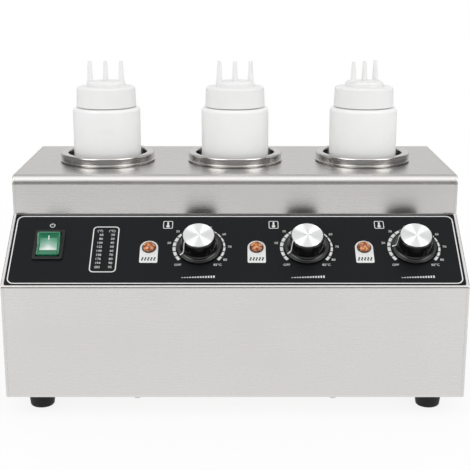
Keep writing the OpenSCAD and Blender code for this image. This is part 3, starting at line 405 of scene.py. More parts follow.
def dial_print():
    """The print of one dial, about its knob's centre."""
    bars = ring_parts(scale_inner, scale_outer, 247, lambda angle: True)
    bars.data.transform(Matrix.Rotation(-math.radians(scale_start), 4, "Z"))
    select_faces(bars, lambda face: not is_bar(clock(face.center)))
    bpy.ops.mesh.delete(type="FACE")
    bpy.ops.object.mode_set(mode="OBJECT")
    for vertex in bars.data.vertices:
        angle = clock(vertex.co)
        if angle > 0 and vertex.co.length < (scale_inner + scale_outer) / 2:
            width = (1.0 + 2.0 * max(0.0, angle - 40) / 90) * mm
            vertex.co *= (scale_outer - width) / vertex.co.length
    made = [bars]
    for number in (20, 30, 40, 50, 60, 70, 80):
        angle = math.radians(-78.5 + (number - 20) / 10 * degrees_per_ten)
        reach = figure_r - (2 * mm if number in (40, 50) else 0)
        made.append(words(str(number), reach * math.sin(angle), reach * math.cos(angle), figure_h))
    made.append(words("OFF", -21 * mm, -23.2 * mm, figure_h))
    made.append(words("85°C", 19.4 * mm, -23.2 * mm, figure_h))
    icon_x = -33.1 * mm
    icon_y = 31.6 * mm
    made.append(line_round(box_outline(icon_x, icon_y, 10.2 * mm, 10.6 * mm, 1.5 * mm), 0.75 * mm))
    made.append(patch(box_outline(icon_x, icon_y + 1.1 * mm, 1.8 * mm, 5.6 * mm, 0.85 * mm)))
    made.append(patch(box_outline(icon_x, icon_y - 2 * mm, 3.6 * mm, 3.6 * mm, 1.75 * mm)))
    steps = 13
    for step in range(steps):
        tall = (0.8 + 2.2 * step / (steps - 1)) * mm
        x = (step - (steps - 1) / 2) * 2.65 * mm
        made.append(patch(box_outline(x, -40.2 * mm + tall / 2, 1.5 * mm, tall)))
    return made


for side, x in zip(("left", "middle", "right"), dial_xs):
    print_on_plate(dial_print(), f"dial_print_{side}", x, white_ink)

# A white label with a round top lies under each lamp. Dark wavy lines on it stand for heat.
black_ink, tree, shader = new_material("black screen ink")
place = add(tree, "ShaderNodeTexCoord", {}).outputs["Object"]
mottle = add(tree, "ShaderNodeTexNoise", {"Vector": place, "Scale": 500.0, "Detail": 3.0})
tone = add(tree, "ShaderNodeMix", {"Factor": mottle.outputs["Fac"], 6: linear("#131415"),
           7: linear("#2A2B2D")}, data_type="RGBA")
wire(tree, shader, {"Base Color": tone.outputs[2], "Roughness": 0.5})
label_w = 18.6 * mm
label_foot = -20.4 * mm
label_top = 9.2 * mm


def wave(x, y, tall):
    """A flat upright line with two bends, about (x, y)."""
    bpy.ops.mesh.primitive_grid_add(x_subdivisions=1, y_subdivisions=16, size=1)
    piece = bpy.context.object
    for vertex in piece.data.vertices:
        bend = math.sin(vertex.co.y * math.tau) * 0.55 * mm
        vertex.co = x + bend + vertex.co.x * 1.5 * mm, y + vertex.co.y * tall, 0
    return piece


lamp_xs = []
for side in ("left", "middle", "right"):
    low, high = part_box(f"lamp_lens_{side}")
    lamp_xs.append((low.x + high.x) / 2)
    half = label_w / 2
    label = patch(rounded([(-half, label_foot, 1.6 * mm), (half, label_foot, 1.6 * mm),
                           (half, label_top, half * 0.98), (-half, label_top, half * 0.98)], 12))
    print_on_plate([label], f"lamp_label_{side}", lamp_xs[-1], white_ink)
    marks = [wave(i * 3.1 * mm, -15.2 * mm, 4.6 * mm) for i in (-2, -1, 0, 1, 2)]
    print_on_plate(marks, f"heat_mark_{side}", lamp_xs[-1], black_ink, 0, ink_t)


# Wells: deep-drawn pots of polished stainless steel that hang through the deck by a narrow
# flange. Each is covered by a collar, pressed from the same steel and turned bright.
def turned_steel(name):
    """Stainless steel polished on a lathe: a mirror with fine rings round its axis."""
    material, tree, shader = new_material(name)
    place = add(tree, "ShaderNodeTexCoord", {}).outputs["Object"]
    # Level lines 1 mm apart, as coarse as the picture needs: the real ones are finer.
    level = add(tree, "ShaderNodeMapping", {"Vector": place, "Scale": (12.0, 12.0, 1000.0)})
    lines = add(tree, "ShaderNodeTexNoise", {"Vector": level.outputs[0], "Scale": 1.0, "Detail": 3.0})
    tone = add(tree, "ShaderNodeMix", {"Factor": lines.outputs["Fac"], 6: linear("#B9B7B4"),
               7: linear("#D2D0CD")}, data_type="RGBA")
    rough = add(tree, "ShaderNodeMapRange", {"Value": lines.outputs["Fac"], "From Min": 0.3,
                "From Max": 0.7, "To Min": 0.14, "To Max": 0.24})
    wire(tree, shader, {"Base Color": tone.outputs[2], "Metallic": 1.0, "Roughness": rough.outputs[0]})
    return material


drawn_steel = turned_steel("drawn and polished stainless steel")
well_r = 44 * mm
collar_r = 52.5 * mm
collar_h = 9.5 * mm
collar_rim_r = 1.8 * mm
collar_bead_r = 0.8 * mm
collar_t = 1 * mm
collar_gap = 0.7 * mm


def turned(profile, steps=96):
    """A form spun round Z from a closed profile of (radius, height) points."""
    bpy.ops.mesh.primitive_circle_add(vertices=len(profile), fill_type="NOTHING")
    piece = bpy.context.object
    for vertex, (radius, height) in zip(piece.data.vertices, profile):
        vertex.co = max(radius, 0), 0, height
    bpy.ops.object.mode_set(mode="EDIT")
    bpy.ops.mesh.select_mode(type="VERT")
    bpy.ops.mesh.select_all(action="SELECT")
    bpy.ops.mesh.spin(steps=steps, angle=math.tau, center=(0, 0, 0), axis=(0, 0, 1))
    bpy.ops.mesh.select_all(action="SELECT")
    bpy.ops.mesh.remove_doubles(threshold=0.001 * mm)
    bpy.ops.mesh.normals_make_consistent(inside=False)
    bpy.ops.object.mode_set(mode="OBJECT")
    return piece


well_centres = []
for side in ("left", "middle", "right"):
    dress(f"well_pot_{side}", drawn_steel)
    low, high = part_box(f"well_collar_{side}")
    well_centres.append(Vector(((low.x + high.x) / 2, (low.y + high.y) / 2, low.z)))
    inner_rim = collar_rim_r - collar_t
    collar = turned(rounded([
        (well_r, 0, 0), (well_r, collar_h, collar_rim_r), (collar_r, collar_h, collar_rim_r),
        (collar_r, 2.4 * collar_bead_r, 0.3 * mm), (collar_r + collar_bead_r, 2.4 * collar_bead_r, 0.6 * mm),
        (collar_r + collar_bead_r, collar_gap, 0.5 * mm), (collar_r - 0.5 * mm, collar_gap, 0),
        (collar_r - 0.5 * mm, 0, 0), (collar_r - collar_t, 0, 0),
        (collar_r - collar_t, collar_h - collar_t, inner_rim),
        (well_r + collar_t, collar_h - collar_t, inner_rim), (well_r + collar_t, 0, 0)], 8), 160)
    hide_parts(f"well_collar_{side}")
    settle(collar, f"collar_{side}", Matrix.Translation(well_centres[-1]), drawn_steel, "casing")


# Heating, hidden in the casing: a mica band heater clamped round each pot, a sleeve of ceramic
# wool round that, and a sensing bulb held under the pot by a clip.
mica, tree, shader = new_material("pressed mica")
place = add(tree, "ShaderNodeTexCoord", {}).outputs["Object"]
flakes = add(tree, "ShaderNodeTexVoronoi", {"Vector": place, "Scale": 400.0})
tone = add(tree, "ShaderNodeMix", {"Factor": flakes.outputs["Distance"], 6: linear("#8E8672"),
           7: linear("#C9C1AB")}, data_type="RGBA")
wire(tree, shader, {"Base Color": tone.outputs[2], "Roughness": 0.45})
wool, tree, shader = new_material("ceramic wool")
place = add(tree, "ShaderNodeTexCoord", {}).outputs["Object"]
fluff = add(tree, "ShaderNodeTexNoise", {"Vector": place, "Scale": 350.0, "Detail": 6.0})
tone = add(tree, "ShaderNodeMix", {"Factor": fluff.outputs["Fac"], 6: linear("#D9D4C6"),
           7: linear("#F4F1E8")}, data_type="RGBA")
nap = add(tree, "ShaderNodeBump", {"Height": fluff.outputs["Fac"], "Strength": 0.7, "Distance": 0.6 * mm})
wire(tree, shader, {"Base Color": tone.outputs[2], "Roughness": 0.95, "Normal": nap.outputs[0]})
copper, tree, shader = new_material("drawn copper")
place = add(tree, "ShaderNodeTexCoord", {}).outputs["Object"]
tarnish = add(tree, "ShaderNodeTexNoise", {"Vector": place, "Scale": 160.0, "Detail": 4.0})
tone = add(tree, "ShaderNodeMix", {"Factor": tarnish.outputs["Fac"], 6: linear("#8F4E2C"),
           7: linear("#D08A60")}, data_type="RGBA")
wire(tree, shader, {"Base Color": tone.outputs[2], "Metallic": 1.0, "Roughness": 0.35})
dress("insulation_sleeves", wool)
dress("sensor_clips", drawn_steel)
for side in ("left", "middle", "right"):
    dress(f"heater_band_{side}", mica)
    dress(f"sensor_bulb_{side}", copper)


# Thermostats, hidden behind the console: plated steel cases whose shafts carry the knobs.
plated, tree, shader = new_material("plated steel case")
place = add(tree, "ShaderNodeTexCoord", {}).outputs["Object"]
cloud = add(tree, "ShaderNodeTexNoise", {"Vector": place, "Scale": 300.0, "Detail": 4.0})
tone = add(tree, "ShaderNodeMix", {"Factor": cloud.outputs["Fac"], 6: linear("#8C8A80"),
           7: linear("#B4B2A6")}, data_type="RGBA")
wire(tree, shader, {"Base Color": tone.outputs[2], "Metallic": 1.0, "Roughness": 0.4})
for side in ("left", "middle", "right"):
    dress(f"thermostat_{side}", plated)
    dress(f"thermostat_shaft_{side}", drawn_steel)


# Pilot lamps: a faceted amber acrylic lens in a brown bezel, pushed through the plate on a pale
# nylon holder. The facets each catch the light on their own.
nylon, tree, shader = new_material("natural nylon")
place = add(tree, "ShaderNodeTexCoord", {}).outputs["Object"]
cloud = add(tree, "ShaderNodeTexNoise", {"Vector": place, "Scale": 200.0, "Detail": 2.0})
tone = add(tree, "ShaderNodeMix", {"Factor": cloud.outputs["Fac"], 6: linear("#CFCBC0"),
           7: linear("#E4E1D8")}, data_type="RGBA")
wire(tree, shader, {"Base Color": tone.outputs[2], "Roughness": 0.4})
dress("lamp_holders", nylon)
amber, tree, shader = new_material("amber acrylic")
place = add(tree, "ShaderNodeTexCoord", {}).outputs["Object"]
# Painted glints: the colour is bright amber in the middle of each cell and dark brown at its edges.
painted_glints = add(tree, "ShaderNodeTexVoronoi", {"Vector": place, "Scale": 330.0})
tone = add(tree, "ShaderNodeValToRGB", {"Fac": painted_glints.outputs["Distance"]})
tone.color_ramp.elements[0].color = linear("#F9A545")
tone.color_ramp.elements[1].color = linear("#8F3F0A")
tone.color_ramp.elements[0].position = 0.05
tone.color_ramp.elements[1].position = 0.6
wire(tree, shader, {"Base Color": tone.outputs[0], "Roughness": 0.08, "IOR": 1.49,
     "Coat Weight": 0.6, "Coat Roughness": 0.03, "Subsurface Weight": 0.25,
     "Subsurface Scale": 2 * mm})
brown, tree, shader = new_material("brown phenolic bezel")
place = add(tree, "ShaderNodeTexCoord", {}).outputs["Object"]
grain = add(tree, "ShaderNodeTexNoise", {"Vector": place, "Scale": 600.0, "Detail": 2.0})
tone = add(tree, "ShaderNodeMix", {"Factor": grain.outputs["Fac"], 6: linear("#1E0D05"),
           7: linear("#38190A")}, data_type="RGBA")
wire(tree, shader, {"Base Color": tone.outputs[2], "Roughness": 0.22})
lamp_rim_r = 7.3 * mm
lamp_rim_h = 1.3 * mm
lens_r = 6.6 * mm
lens_h = 4 * mm
for side, x in zip(("left", "middle", "right"), lamp_xs):
    bpy.ops.mesh.primitive_ico_sphere_add(subdivisions=2, radius=lens_r)
    lens = bpy.context.object
    lens.data.transform(Matrix.Scale(lens_h / lens_r, 4, (0, 0, 1)))
    bpy.ops.object.mode_set(mode="EDIT")
    bpy.ops.mesh.select_all(action="SELECT")
    bpy.ops.mesh.bisect(plane_co=(0, 0, 0), plane_no=(0, 0, 1), clear_inner=True, use_fill=True)
    bpy.ops.object.mode_set(mode="OBJECT")
    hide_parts(f"lamp_lens_{side}")
    settle(lens, f"lens_{side}", on_plate(x, 0, lamp_rim_h), amber, "casing", 4)
    rim = turned(rounded([(0, 0, 0), (lamp_rim_r, 0, 0), (lamp_rim_r, lamp_rim_h, 0.6 * mm),
                          (lens_r - 0.1 * mm, lamp_rim_h, 0), (0, lamp_rim_h, 0)], 4), 48)
    settle(rim, f"lamp_rim_{side}", on_plate(x), brown, "casing")


# Power switch: a snap-in rocker switch. Its black nylon housing has a flat bezel with soft edges,
# and its rocker is moulded in green, with two dished faces inside a raised rim.
def softened(node, name, edge, material, body):
    """A copy of a CAD node with its flat faces cleaned and its sharp edges rounded, in its place."""
    bpy.ops.mesh.primitive_cube_add()
    piece = bpy.context.object
    piece.data = nodes[node].data.copy()
    bpy.ops.object.mode_set(mode="EDIT")
    bpy.ops.mesh.select_all(action="SELECT")
    bpy.ops.mesh.customdata_custom_splitnormals_clear()
    bpy.ops.mesh.remove_doubles(threshold=0.002 * mm)
    bpy.ops.mesh.dissolve_limited(angle_limit=math.radians(1))
    bpy.ops.object.mode_set(mode="OBJECT")
    bevel = piece.modifiers.new("edges", "BEVEL")
    bevel.width = edge
    bevel.segments = 3
    bevel.angle_limit = math.radians(40)
    bpy.ops.object.modifier_apply(modifier=bevel.name)
    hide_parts(node)
    return settle(piece, name, Matrix.Identity(4), material, body)


black_nylon, tree, shader = new_material("moulded black nylon")
place = add(tree, "ShaderNodeTexCoord", {}).outputs["Object"]
grain = add(tree, "ShaderNodeTexNoise", {"Vector": place, "Scale": 1500.0, "Detail": 2.0})
tone = add(tree, "ShaderNodeMix", {"Factor": grain.outputs["Fac"], 6: linear("#0D0E0F"),
           7: linear("#191A1B")}, data_type="RGBA")
skin = add(tree, "ShaderNodeBump", {"Height": grain.outputs["Fac"], "Strength": 0.2,
           "Distance": 0.04 * mm})
wire(tree, shader, {"Base Color": tone.outputs[2], "Roughness": 0.34, "Specular IOR Level": 0.3,
     "Normal": skin.outputs[0]})
housing = softened("switch_housing", "switch_body", 0.35 * mm, black_nylon, "casing")

green, tree, shader = new_material("moulded green polycarbonate")
place = add(tree, "ShaderNodeTexCoord", {}).outputs["Object"]
swirl = add(tree, "ShaderNodeTexNoise", {"Vector": place, "Scale": 120.0, "Detail": 2.0})
tone = add(tree, "ShaderNodeMix", {"Factor": swirl.outputs["Fac"], 6: linear("#06603F"),
           7: linear("#0F8058")}, data_type="RGBA")
wire(tree, shader, {"Base Color": tone.outputs[2], "Roughness": 0.16, "IOR": 1.58,
     "Subsurface Weight": 0.15, "Subsurface Scale": 3 * mm, "Coat Weight": 0.4})
tip = joints["rocker_tip"]
rocker_w = 23.3 * mm
rocker_half = 14.5 * mm
rocker_crown = 4 * mm
rocker_depth = 7 * mm
rocker_tilt = math.radians(tip["range_deg"][1] / 2)
end_y = rocker_half * math.cos(rocker_tilt)
end_z = rocker_crown + rocker_half * math.sin(rocker_tilt)
side_outline = [(0, rocker_crown), (-end_y, end_z), (-end_y + 1 * mm, -2 * mm), (-5 * mm, -rocker_depth),
                (5 * mm, -rocker_depth), (end_y - 1 * mm, -2 * mm), (end_y, end_z)]
rocker = patch(side_outline)
bpy.ops.object.mode_set(mode="EDIT")
bpy.ops.mesh.select_all(action="SELECT")
bpy.ops.mesh.extrude_region_move(TRANSFORM_OT_translate={"value": (0, 0, rocker_w)})
bpy.ops.mesh.select_all(action="SELECT")
bpy.ops.mesh.normals_make_consistent(inside=False)
bpy.ops.object.mode_set(mode="OBJECT")
# The outline was drawn in X and Y. It stands up here: X becomes the slope, Y the height.
rocker.data.transform(Matrix(((0, 0, 1, -rocker_w / 2), (1, 0, 0, 0), (0, 1, 0, 0), (0, 0, 0, 1))))
corner_r = 2.8 * mm
select_edges(rocker, lambda ends: all(abs(abs(end.x) - rocker_w / 2) < 0.1 * mm and end.z > -3 * mm
                                      and abs(end.y) > end_y - 2 * mm for end in ends)
             and (ends[0] - ends[1]).length > 3 * mm)
bpy.ops.mesh.bevel(offset=corner_r, segments=6)
bpy.ops.object.mode_set(mode="OBJECT")
rim_w = 1.9 * mm
dish = 0.9 * mm
select_faces(rocker, lambda face: face.normal.z > 0.8)
bpy.ops.mesh.inset(thickness=rim_w, depth=0)
bpy.ops.mesh.inset(thickness=0.7 * mm, depth=-dish)
bpy.ops.object.mode_set(mode="OBJECT")
edges = rocker.modifiers.new("edges", "BEVEL")
edges.width = 0.45 * mm
edges.segments = 4
edges.angle_limit = math.radians(18)
bpy.ops.object.modifier_apply(modifier=edges.name)
pins = []
for end in (-1, 1):
    bpy.ops.mesh.primitive_cylinder_add(vertices=24, radius=1.5 * mm, depth=2 * mm,
                                        location=(end * (rocker_w / 2 + 0.4 * mm), 0, 0),
                                        rotation=(0, math.pi / 2, 0))
    bpy.ops.object.transform_apply(location=True, rotation=True, scale=True)
    pins.append(bpy.context.object)
rocker = join([rocker] + pins)
tip_x, tip_y, tip_z = tip["pos_m"]
rocker_place = Matrix.Translation((tip_x, tip_y, tip_z)) @ on_plate(0).to_3x3().to_4x4()
rocker_place @= Matrix.Rotation(rocker_tilt, 4, "X")
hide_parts("switch_rocker")
settle(rocker, "rocker", rocker_place, green, "rocker")

# A window lies in the dish. Its colour is a painted reflection: white at its lower end, green at its upper
# end. The white bar that means on is printed on its upper part.
window_mat, tree, shader = new_material("polycarbonate window with painted reflection")
slope = add(tree, "ShaderNodeUVMap", {}, uv_map="slope").outputs[0]
along = add(tree, "ShaderNodeSeparateXYZ", {"Vector": slope})
swirl = add(tree, "ShaderNodeTexNoise", {"Vector": slope, "Scale": 3.0, "Detail": 2.0})
shift = add(tree, "ShaderNodeMath", {0: swirl.outputs["Fac"], 1: 0.12, 2: -0.06},
            operation="MULTIPLY_ADD")
level = add(tree, "ShaderNodeMath", {0: along.outputs["Y"], 1: shift.outputs[0]}, operation="ADD")
middle = add(tree, "ShaderNodeMath", {0: along.outputs["X"], 1: -0.5}, operation="ADD")
beside = add(tree, "ShaderNodeMath", {0: middle.outputs[0]}, operation="ABSOLUTE")
level = add(tree, "ShaderNodeMath", {0: beside.outputs[0], 1: 0.45, 2: level.outputs[0]},
            operation="MULTIPLY_ADD")
# Painted reflection: the colour runs from white at the window's lower end to green at its upper end.
glow = add(tree, "ShaderNodeValToRGB", {"Fac": level.outputs[0]})
painted_reflection_tints = [(0.16, "#F4F7F5"), (0.34, "#D9E4DE"), (0.55, "#8FB3A3"), (0.78, "#5C9A80"), (1.0, "#2E8463")]
while len(glow.color_ramp.elements) < len(painted_reflection_tints):
    glow.color_ramp.elements.new(0.5)
for element, (position, tint) in zip(glow.color_ramp.elements, painted_reflection_tints):
    element.position = position
    element.color = linear(tint)
wire(tree, shader, {"Base Color": glow.outputs[0], "Roughness": 0.12, "IOR": 1.58, "Coat Weight": 0.4})
window_w = rocker_w - 2 * (rim_w + 0.9 * mm)
window_len = 2 * (end_y - rim_w - 0.9 * mm)


def window_height(y):
    """Height of the window's face over the rocker's axis, a trough with a soft bottom."""
    soft = 2.5 * mm
    return rocker_crown - dish + 0.25 * mm + (math.hypot(y, soft) - soft * 0.6) * math.tan(rocker_tilt)


window = patch(box_outline(0, 0, window_w, window_len, 1.7 * mm))
bpy.ops.object.mode_set(mode="EDIT")
for step in range(1, 16):
    bpy.ops.mesh.select_all(action="SELECT")
    bpy.ops.mesh.bisect(plane_co=(0, (step / 16 - 0.5) * window_len, 0), plane_no=(0, 1, 0))
bpy.ops.object.mode_set(mode="OBJECT")
slopes = window.data.uv_layers.new(name="slope")
for loop in window.data.loops:
    point = window.data.vertices[loop.vertex_index].co
    slopes.data[loop.index].uv = point.x / window_w + 0.5, point.y / window_len + 0.5
bar = patch(box_outline(0, rocker_half * 0.5, 1.1 * mm, 4.4 * mm, 0.3 * mm))
for flat, lift, thick in ((window, 0, 0.3 * mm), (bar, ink_t, ink_t)):
    for vertex in flat.data.vertices:
        vertex.co.z = window_height(vertex.co.y) + lift
    shell = flat.modifiers.new("thickness", "SOLIDIFY")
    shell.thickness = thick
    bpy.context.view_layer.objects.active = flat
    bpy.ops.object.modifier_apply(modifier=shell.name)
settle(window, "rocker_window", rocker_place, window_mat, "rocker", 40)
settle(bar, "rocker_bar", rocker_place, white_ink, "rocker")


# Knobs: glossy black phenolic, moulded with a thin skirt and a tapered hub, pushed on the
# thermostat's shaft. A white line runs up each, and a spun aluminium disc is set into its top.
phenolic, tree, shader = new_material("glossy black phenolic")
place = add(tree, "ShaderNodeTexCoord", {}).outputs["Object"]
haze = add(tree, "ShaderNodeTexNoise", {"Vector": place, "Scale": 60.0, "Detail": 3.0})
tone = add(tree, "ShaderNodeMix", {"Factor": haze.outputs["Fac"], 6: linear("#070707"),
           7: linear("#101010")}, data_type="RGBA")
rough = add(tree, "ShaderNodeMapRange", {"Value": haze.outputs["Fac"], "To Min": 0.1, "To Max": 0.2})
wire(tree, shader, {"Base Color": tone.outputs[2], "Roughness": rough.outputs[0], "IOR": 1.56,
     "Specular IOR Level": 0.4})

aluminium, tree, shader = new_material("spun aluminium")
ring_map = add(tree, "ShaderNodeUVMap", {}, uv_map="rings").outputs[0]
radius = add(tree, "ShaderNodeSeparateXYZ", {"Vector": ring_map})
# The tool leaves a groove every 0.15 mm. At 0.5 mm the grooves are as coarse as the picture needs.
grooves = add(tree, "ShaderNodeTexNoise", {"W": radius.outputs["X"], "Scale": 32.0, "Detail": 3.0},
              noise_dimensions="1D")
tone = add(tree, "ShaderNodeMix", {"Factor": grooves.outputs["Fac"], 6: linear("#E6E7E8"),
           7: linear("#FAFAFA")}, data_type="RGBA")
# The grooves turn the lamps into a cross of soft rays from the middle.
rough = add(tree, "ShaderNodeMapRange", {"Value": grooves.outputs["Fac"], "To Min": 0.38, "To Max": 0.48})
radial = add(tree, "ShaderNodeTangent", {}, direction_type="UV_MAP", uv_map="rings")
wire(tree, shader, {"Base Color": tone.outputs[2], "Metallic": 1.0, "Roughness": rough.outputs[0],
     "Anisotropic": 0.95, "Tangent": radial.outputs[0]})

skirt_r = 23 * mm
skirt_t = 1.9 * mm
hub_r = 18 * mm
top_r = 16.7 * mm
knob_h = 18.5 * mm
bore_r = 3.05 * mm
bore_h = 13.5 * mm
boss_r = 6.5 * mm
hollow_r = 15 * mm
hollow_h = 9 * mm
disc_r = 16 * mm
disc_t = 1.2 * mm
disc_sink = 1.1 * mm
line_w = 1.25 * mm
knob_profile = rounded([
    (bore_r, 0, 0), (boss_r, 0, 0), (boss_r, hollow_h, 0.5 * mm), (hollow_r, hollow_h, 0.5 * mm),
    (hollow_r, 0, 0), (skirt_r, 0, 0.3 * mm), (skirt_r, skirt_t, 0.8 * mm),
    (hub_r + 0.35 * mm, skirt_t + 0.35 * mm, 3.4 * mm), (top_r + 0.5 * mm, knob_h - 1.9 * mm, 0.2 * mm),
    (top_r + 0.1 * mm, knob_h - 1.6 * mm, 0.1 * mm), (top_r + 0.3 * mm, knob_h - 1.2 * mm, 0.2 * mm),
    (top_r - 0.1 * mm, knob_h - 0.3 * mm, 0.3 * mm), (disc_r + 0.1 * mm, knob_h - 0.2 * mm, 0),
    (disc_r + 0.1 * mm, knob_h - disc_sink, 0), (0, knob_h - disc_sink, 0), (0, bore_h, 0),
    (bore_r, bore_h, 0)], 5)
line_profile = [(skirt_r - 0.3 * mm, skirt_t - 0.1 * mm), (hub_r + 3.4 * mm, skirt_t + 0.3 * mm),
                (hub_r + 1.3 * mm, skirt_t + 1.25 * mm), (hub_r + 0.4 * mm, skirt_t + 3.4 * mm),
                (top_r + 0.55 * mm, knob_h - 1.9 * mm), (top_r + 0.35 * mm, knob_h - 1.1 * mm),
                (top_r, knob_h - 0.35 * mm), (disc_r + 0.15 * mm, knob_h - 0.2 * mm)]
for side, x in zip(("left", "middle", "right"), dial_xs):
    turn = joints[f"dial_{side}_turn"]
    pointer = math.radians(scale_start - turn["range_deg"][0])
    knob_place = Matrix.Translation(turn["pos_m"]) @ on_plate(0).to_3x3().to_4x4()
    knob_place @= Matrix.Rotation(-pointer, 4, "Z")
    knob = turned(knob_profile, 128)
    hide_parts(f"knob_{side}")
    settle(knob, f"dial_knob_{side}", knob_place, phenolic, f"dial_{side}")

    # The line is a narrow ribbon laid over the knob's profile.
    count = len(line_profile)
    bpy.ops.mesh.primitive_grid_add(x_subdivisions=1, y_subdivisions=count - 1, size=1)
    line = bpy.context.object
    for vertex in line.data.vertices:
        along, height = line_profile[round((0.5 - vertex.co.y) * (count - 1))]
        vertex.co = vertex.co.x * line_w, along, height
    ribbon = line.modifiers.new("thickness", "SOLIDIFY")
    ribbon.thickness = 0.25 * mm
    ribbon.offset = 0.3
    bpy.ops.object.modifier_apply(modifier=ribbon.name)
    settle(line, f"pointer_line_{side}", knob_place, white_ink, f"dial_{side}")

    disc = turned(rounded([(0, 0, 0), (disc_r, 0, 0), (disc_r, disc_t - 0.35 * mm, 0),
                           (disc_r - 0.35 * mm, disc_t, 0), (disc_r * 0.66, disc_t, 0),
                           (disc_r * 0.33, disc_t, 0), (0.2 * mm, disc_t, 0), (0, disc_t, 0)]), 96)
    rings = disc.data.uv_layers.new(name="rings")
    for loop in disc.data.loops:
        point = disc.data.vertices[loop.vertex_index].co
        rings.data[loop.index].uv = point.xy.length / disc_r, (clock(point) + 180) / 360
    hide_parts(f"knob_disc_{side}")
    disc_place = knob_place @ Matrix.Translation((0, 0, knob_h - disc_sink))
    settle(disc, f"disc_{side}", disc_place, aluminium, f"dial_{side}")


# Wiring and cord entry: a glazed ceramic terminal block and a brass earth stud on the base, leads
# in silicone rubber, and a black nylon gland in the rear panel for the mains cord.
glazed, tree, shader = new_material("glazed steatite")
place = add(tree, "ShaderNodeTexCoord", {}).outputs["Object"]
cloud = add(tree, "ShaderNodeTexNoise", {"Vector": place, "Scale": 150.0, "Detail": 2.0})
tone = add(tree, "ShaderNodeMix", {"Factor": cloud.outputs["Fac"], 6: linear("#E2DDD0"),
           7: linear("#F3F0E7")}, data_type="RGBA")
wire(tree, shader, {"Base Color": tone.outputs[2], "Roughness": 0.18})
brass, tree, shader = new_material("turned brass")
place = add(tree, "ShaderNodeTexCoord", {}).outputs["Object"]
cloud = add(tree, "ShaderNodeTexNoise", {"Vector": place, "Scale": 400.0, "Detail": 3.0})
tone = add(tree, "ShaderNodeMix", {"Factor": cloud.outputs["Fac"], 6: linear("#A88436"),
           7: linear("#D0AC58")}, data_type="RGBA")
wire(tree, shader, {"Base Color": tone.outputs[2], "Metallic": 1.0, "Roughness": 0.3})
silicone, tree, shader = new_material("silicone rubber lead")
place = add(tree, "ShaderNodeTexCoord", {}).outputs["Object"]
cloud = add(tree, "ShaderNodeTexNoise", {"Vector": place, "Scale": 300.0, "Detail": 2.0})
tone = add(tree, "ShaderNodeMix", {"Factor": cloud.outputs["Fac"], 6: linear("#7A2A24"),
           7: linear("#9A3A32")}, data_type="RGBA")
wire(tree, shader, {"Base Color": tone.outputs[2], "Roughness": 0.55})
dress("terminal_block", glazed)
dress("earth_stud", brass)
dress("wiring_harness", silicone)
dress("cord_gland", black_nylon)
dress("gland_locknut", black_nylon)


# Bottles: squeeze bottles blow-moulded in milky low-density polythene, with a soft heel and
# shoulder, a pushed-up base and a threaded neck. Light passes through the 1.2 mm wall.
def milky_polythene(name, drag, dull, bright):
    """Low-density polythene: a waxy white that lets light through, with faint lines of flow."""
    material, tree, shader = new_material(name)
    place = add(tree, "ShaderNodeTexCoord", {}).outputs["Object"]
    cloud = add(tree, "ShaderNodeTexNoise", {"Vector": place, "Scale": 45.0, "Detail": 3.0})
    tone = add(tree, "ShaderNodeMix", {"Factor": cloud.outputs["Fac"], 6: linear(dull), 7: linear(bright)},
               data_type="RGBA")
    drawn = add(tree, "ShaderNodeMapping", {"Vector": place, "Scale": drag})
    flow = add(tree, "ShaderNodeTexNoise", {"Vector": drawn.outputs[0], "Scale": 1.0, "Detail": 3.0})
    rough = add(tree, "ShaderNodeMapRange", {"Value": flow.outputs["Fac"], "To Min": 0.3, "To Max": 0.44})
    skin = add(tree, "ShaderNodeBump", {"Height": flow.outputs["Fac"], "Strength": 0.5,
               "Distance": 0.08 * mm})
    wire(tree, shader, {"Base Color": tone.outputs[2], "Roughness": rough.outputs[0], "IOR": 1.51,
         "Subsurface Weight": 0.3, "Subsurface Scale": 3 * mm, "Subsurface Radius": (1.0, 1.0, 1.0),
         "Normal": skin.outputs[0]})
    return material


bottle_finish = milky_polythene("blow-moulded low-density polythene", (150.0, 150.0, 14.0),
                                "#F3F4F3", "#F9F9F8")
cap_finish = milky_polythene("injection-moulded low-density polythene", (60.0, 60.0, 160.0),
                             "#EAEBEA", "#F0F0EF")
bottle_r = 37.5 * mm
body_h = 162.2 * mm
shoulder_h = 5.4 * mm
wall = 1.2 * mm
neck_r = 28.8 * mm
neck_foot_r = neck_r + 3.7 * mm
neck_top = 187 * mm
thread_r = 0.7 * mm
heel_r = 4 * mm
push_up = 2.4 * mm
shoulder_top = body_h + shoulder_h - 0.9 * mm


def thread_bead(radius, height):
    """The points of one round ridge of the thread, going up."""
    return [Vector((radius + thread_r * math.cos(angle), height + thread_r * math.sin(angle)))
            for angle in (math.radians(a) for a in (-80, -45, 0, 45, 80))]


outer = rounded([
    (0, push_up, 0), (24 * mm, push_up, 3 * mm), (28 * mm, 0, 2 * mm), (bottle_r, 0, heel_r),
    (bottle_r, shoulder_top - 0.5 * mm, 4.2 * mm), (neck_foot_r, shoulder_top, 1 * mm),
    (neck_r, shoulder_top, 0.6 * mm), (neck_r, neck_top, 0.4 * mm), (neck_r - wall, neck_top, 0.4 * mm),
    (neck_r - wall, shoulder_top - wall, 0.6 * mm), (neck_foot_r - wall, shoulder_top - wall, 0.8 * mm),
    (bottle_r - wall, shoulder_top - 0.5 * mm - wall, 3.2 * mm), (bottle_r - wall, wall, heel_r - wall),
    (28 * mm, wall, 2 * mm), (24 * mm, push_up + wall, 3 * mm), (0, push_up + wall, 0)], 8)
climb = next(i for i, point in enumerate(outer) if point.y > neck_top - 1 * mm)
beads = [point for row in (3, 2, 1) for point in thread_bead(neck_r, neck_top - (3.5 * row + 1) * mm)]
bottle_profile = outer[:climb] + beads + outer[climb:]
mark_turns = (8, 150, 205)
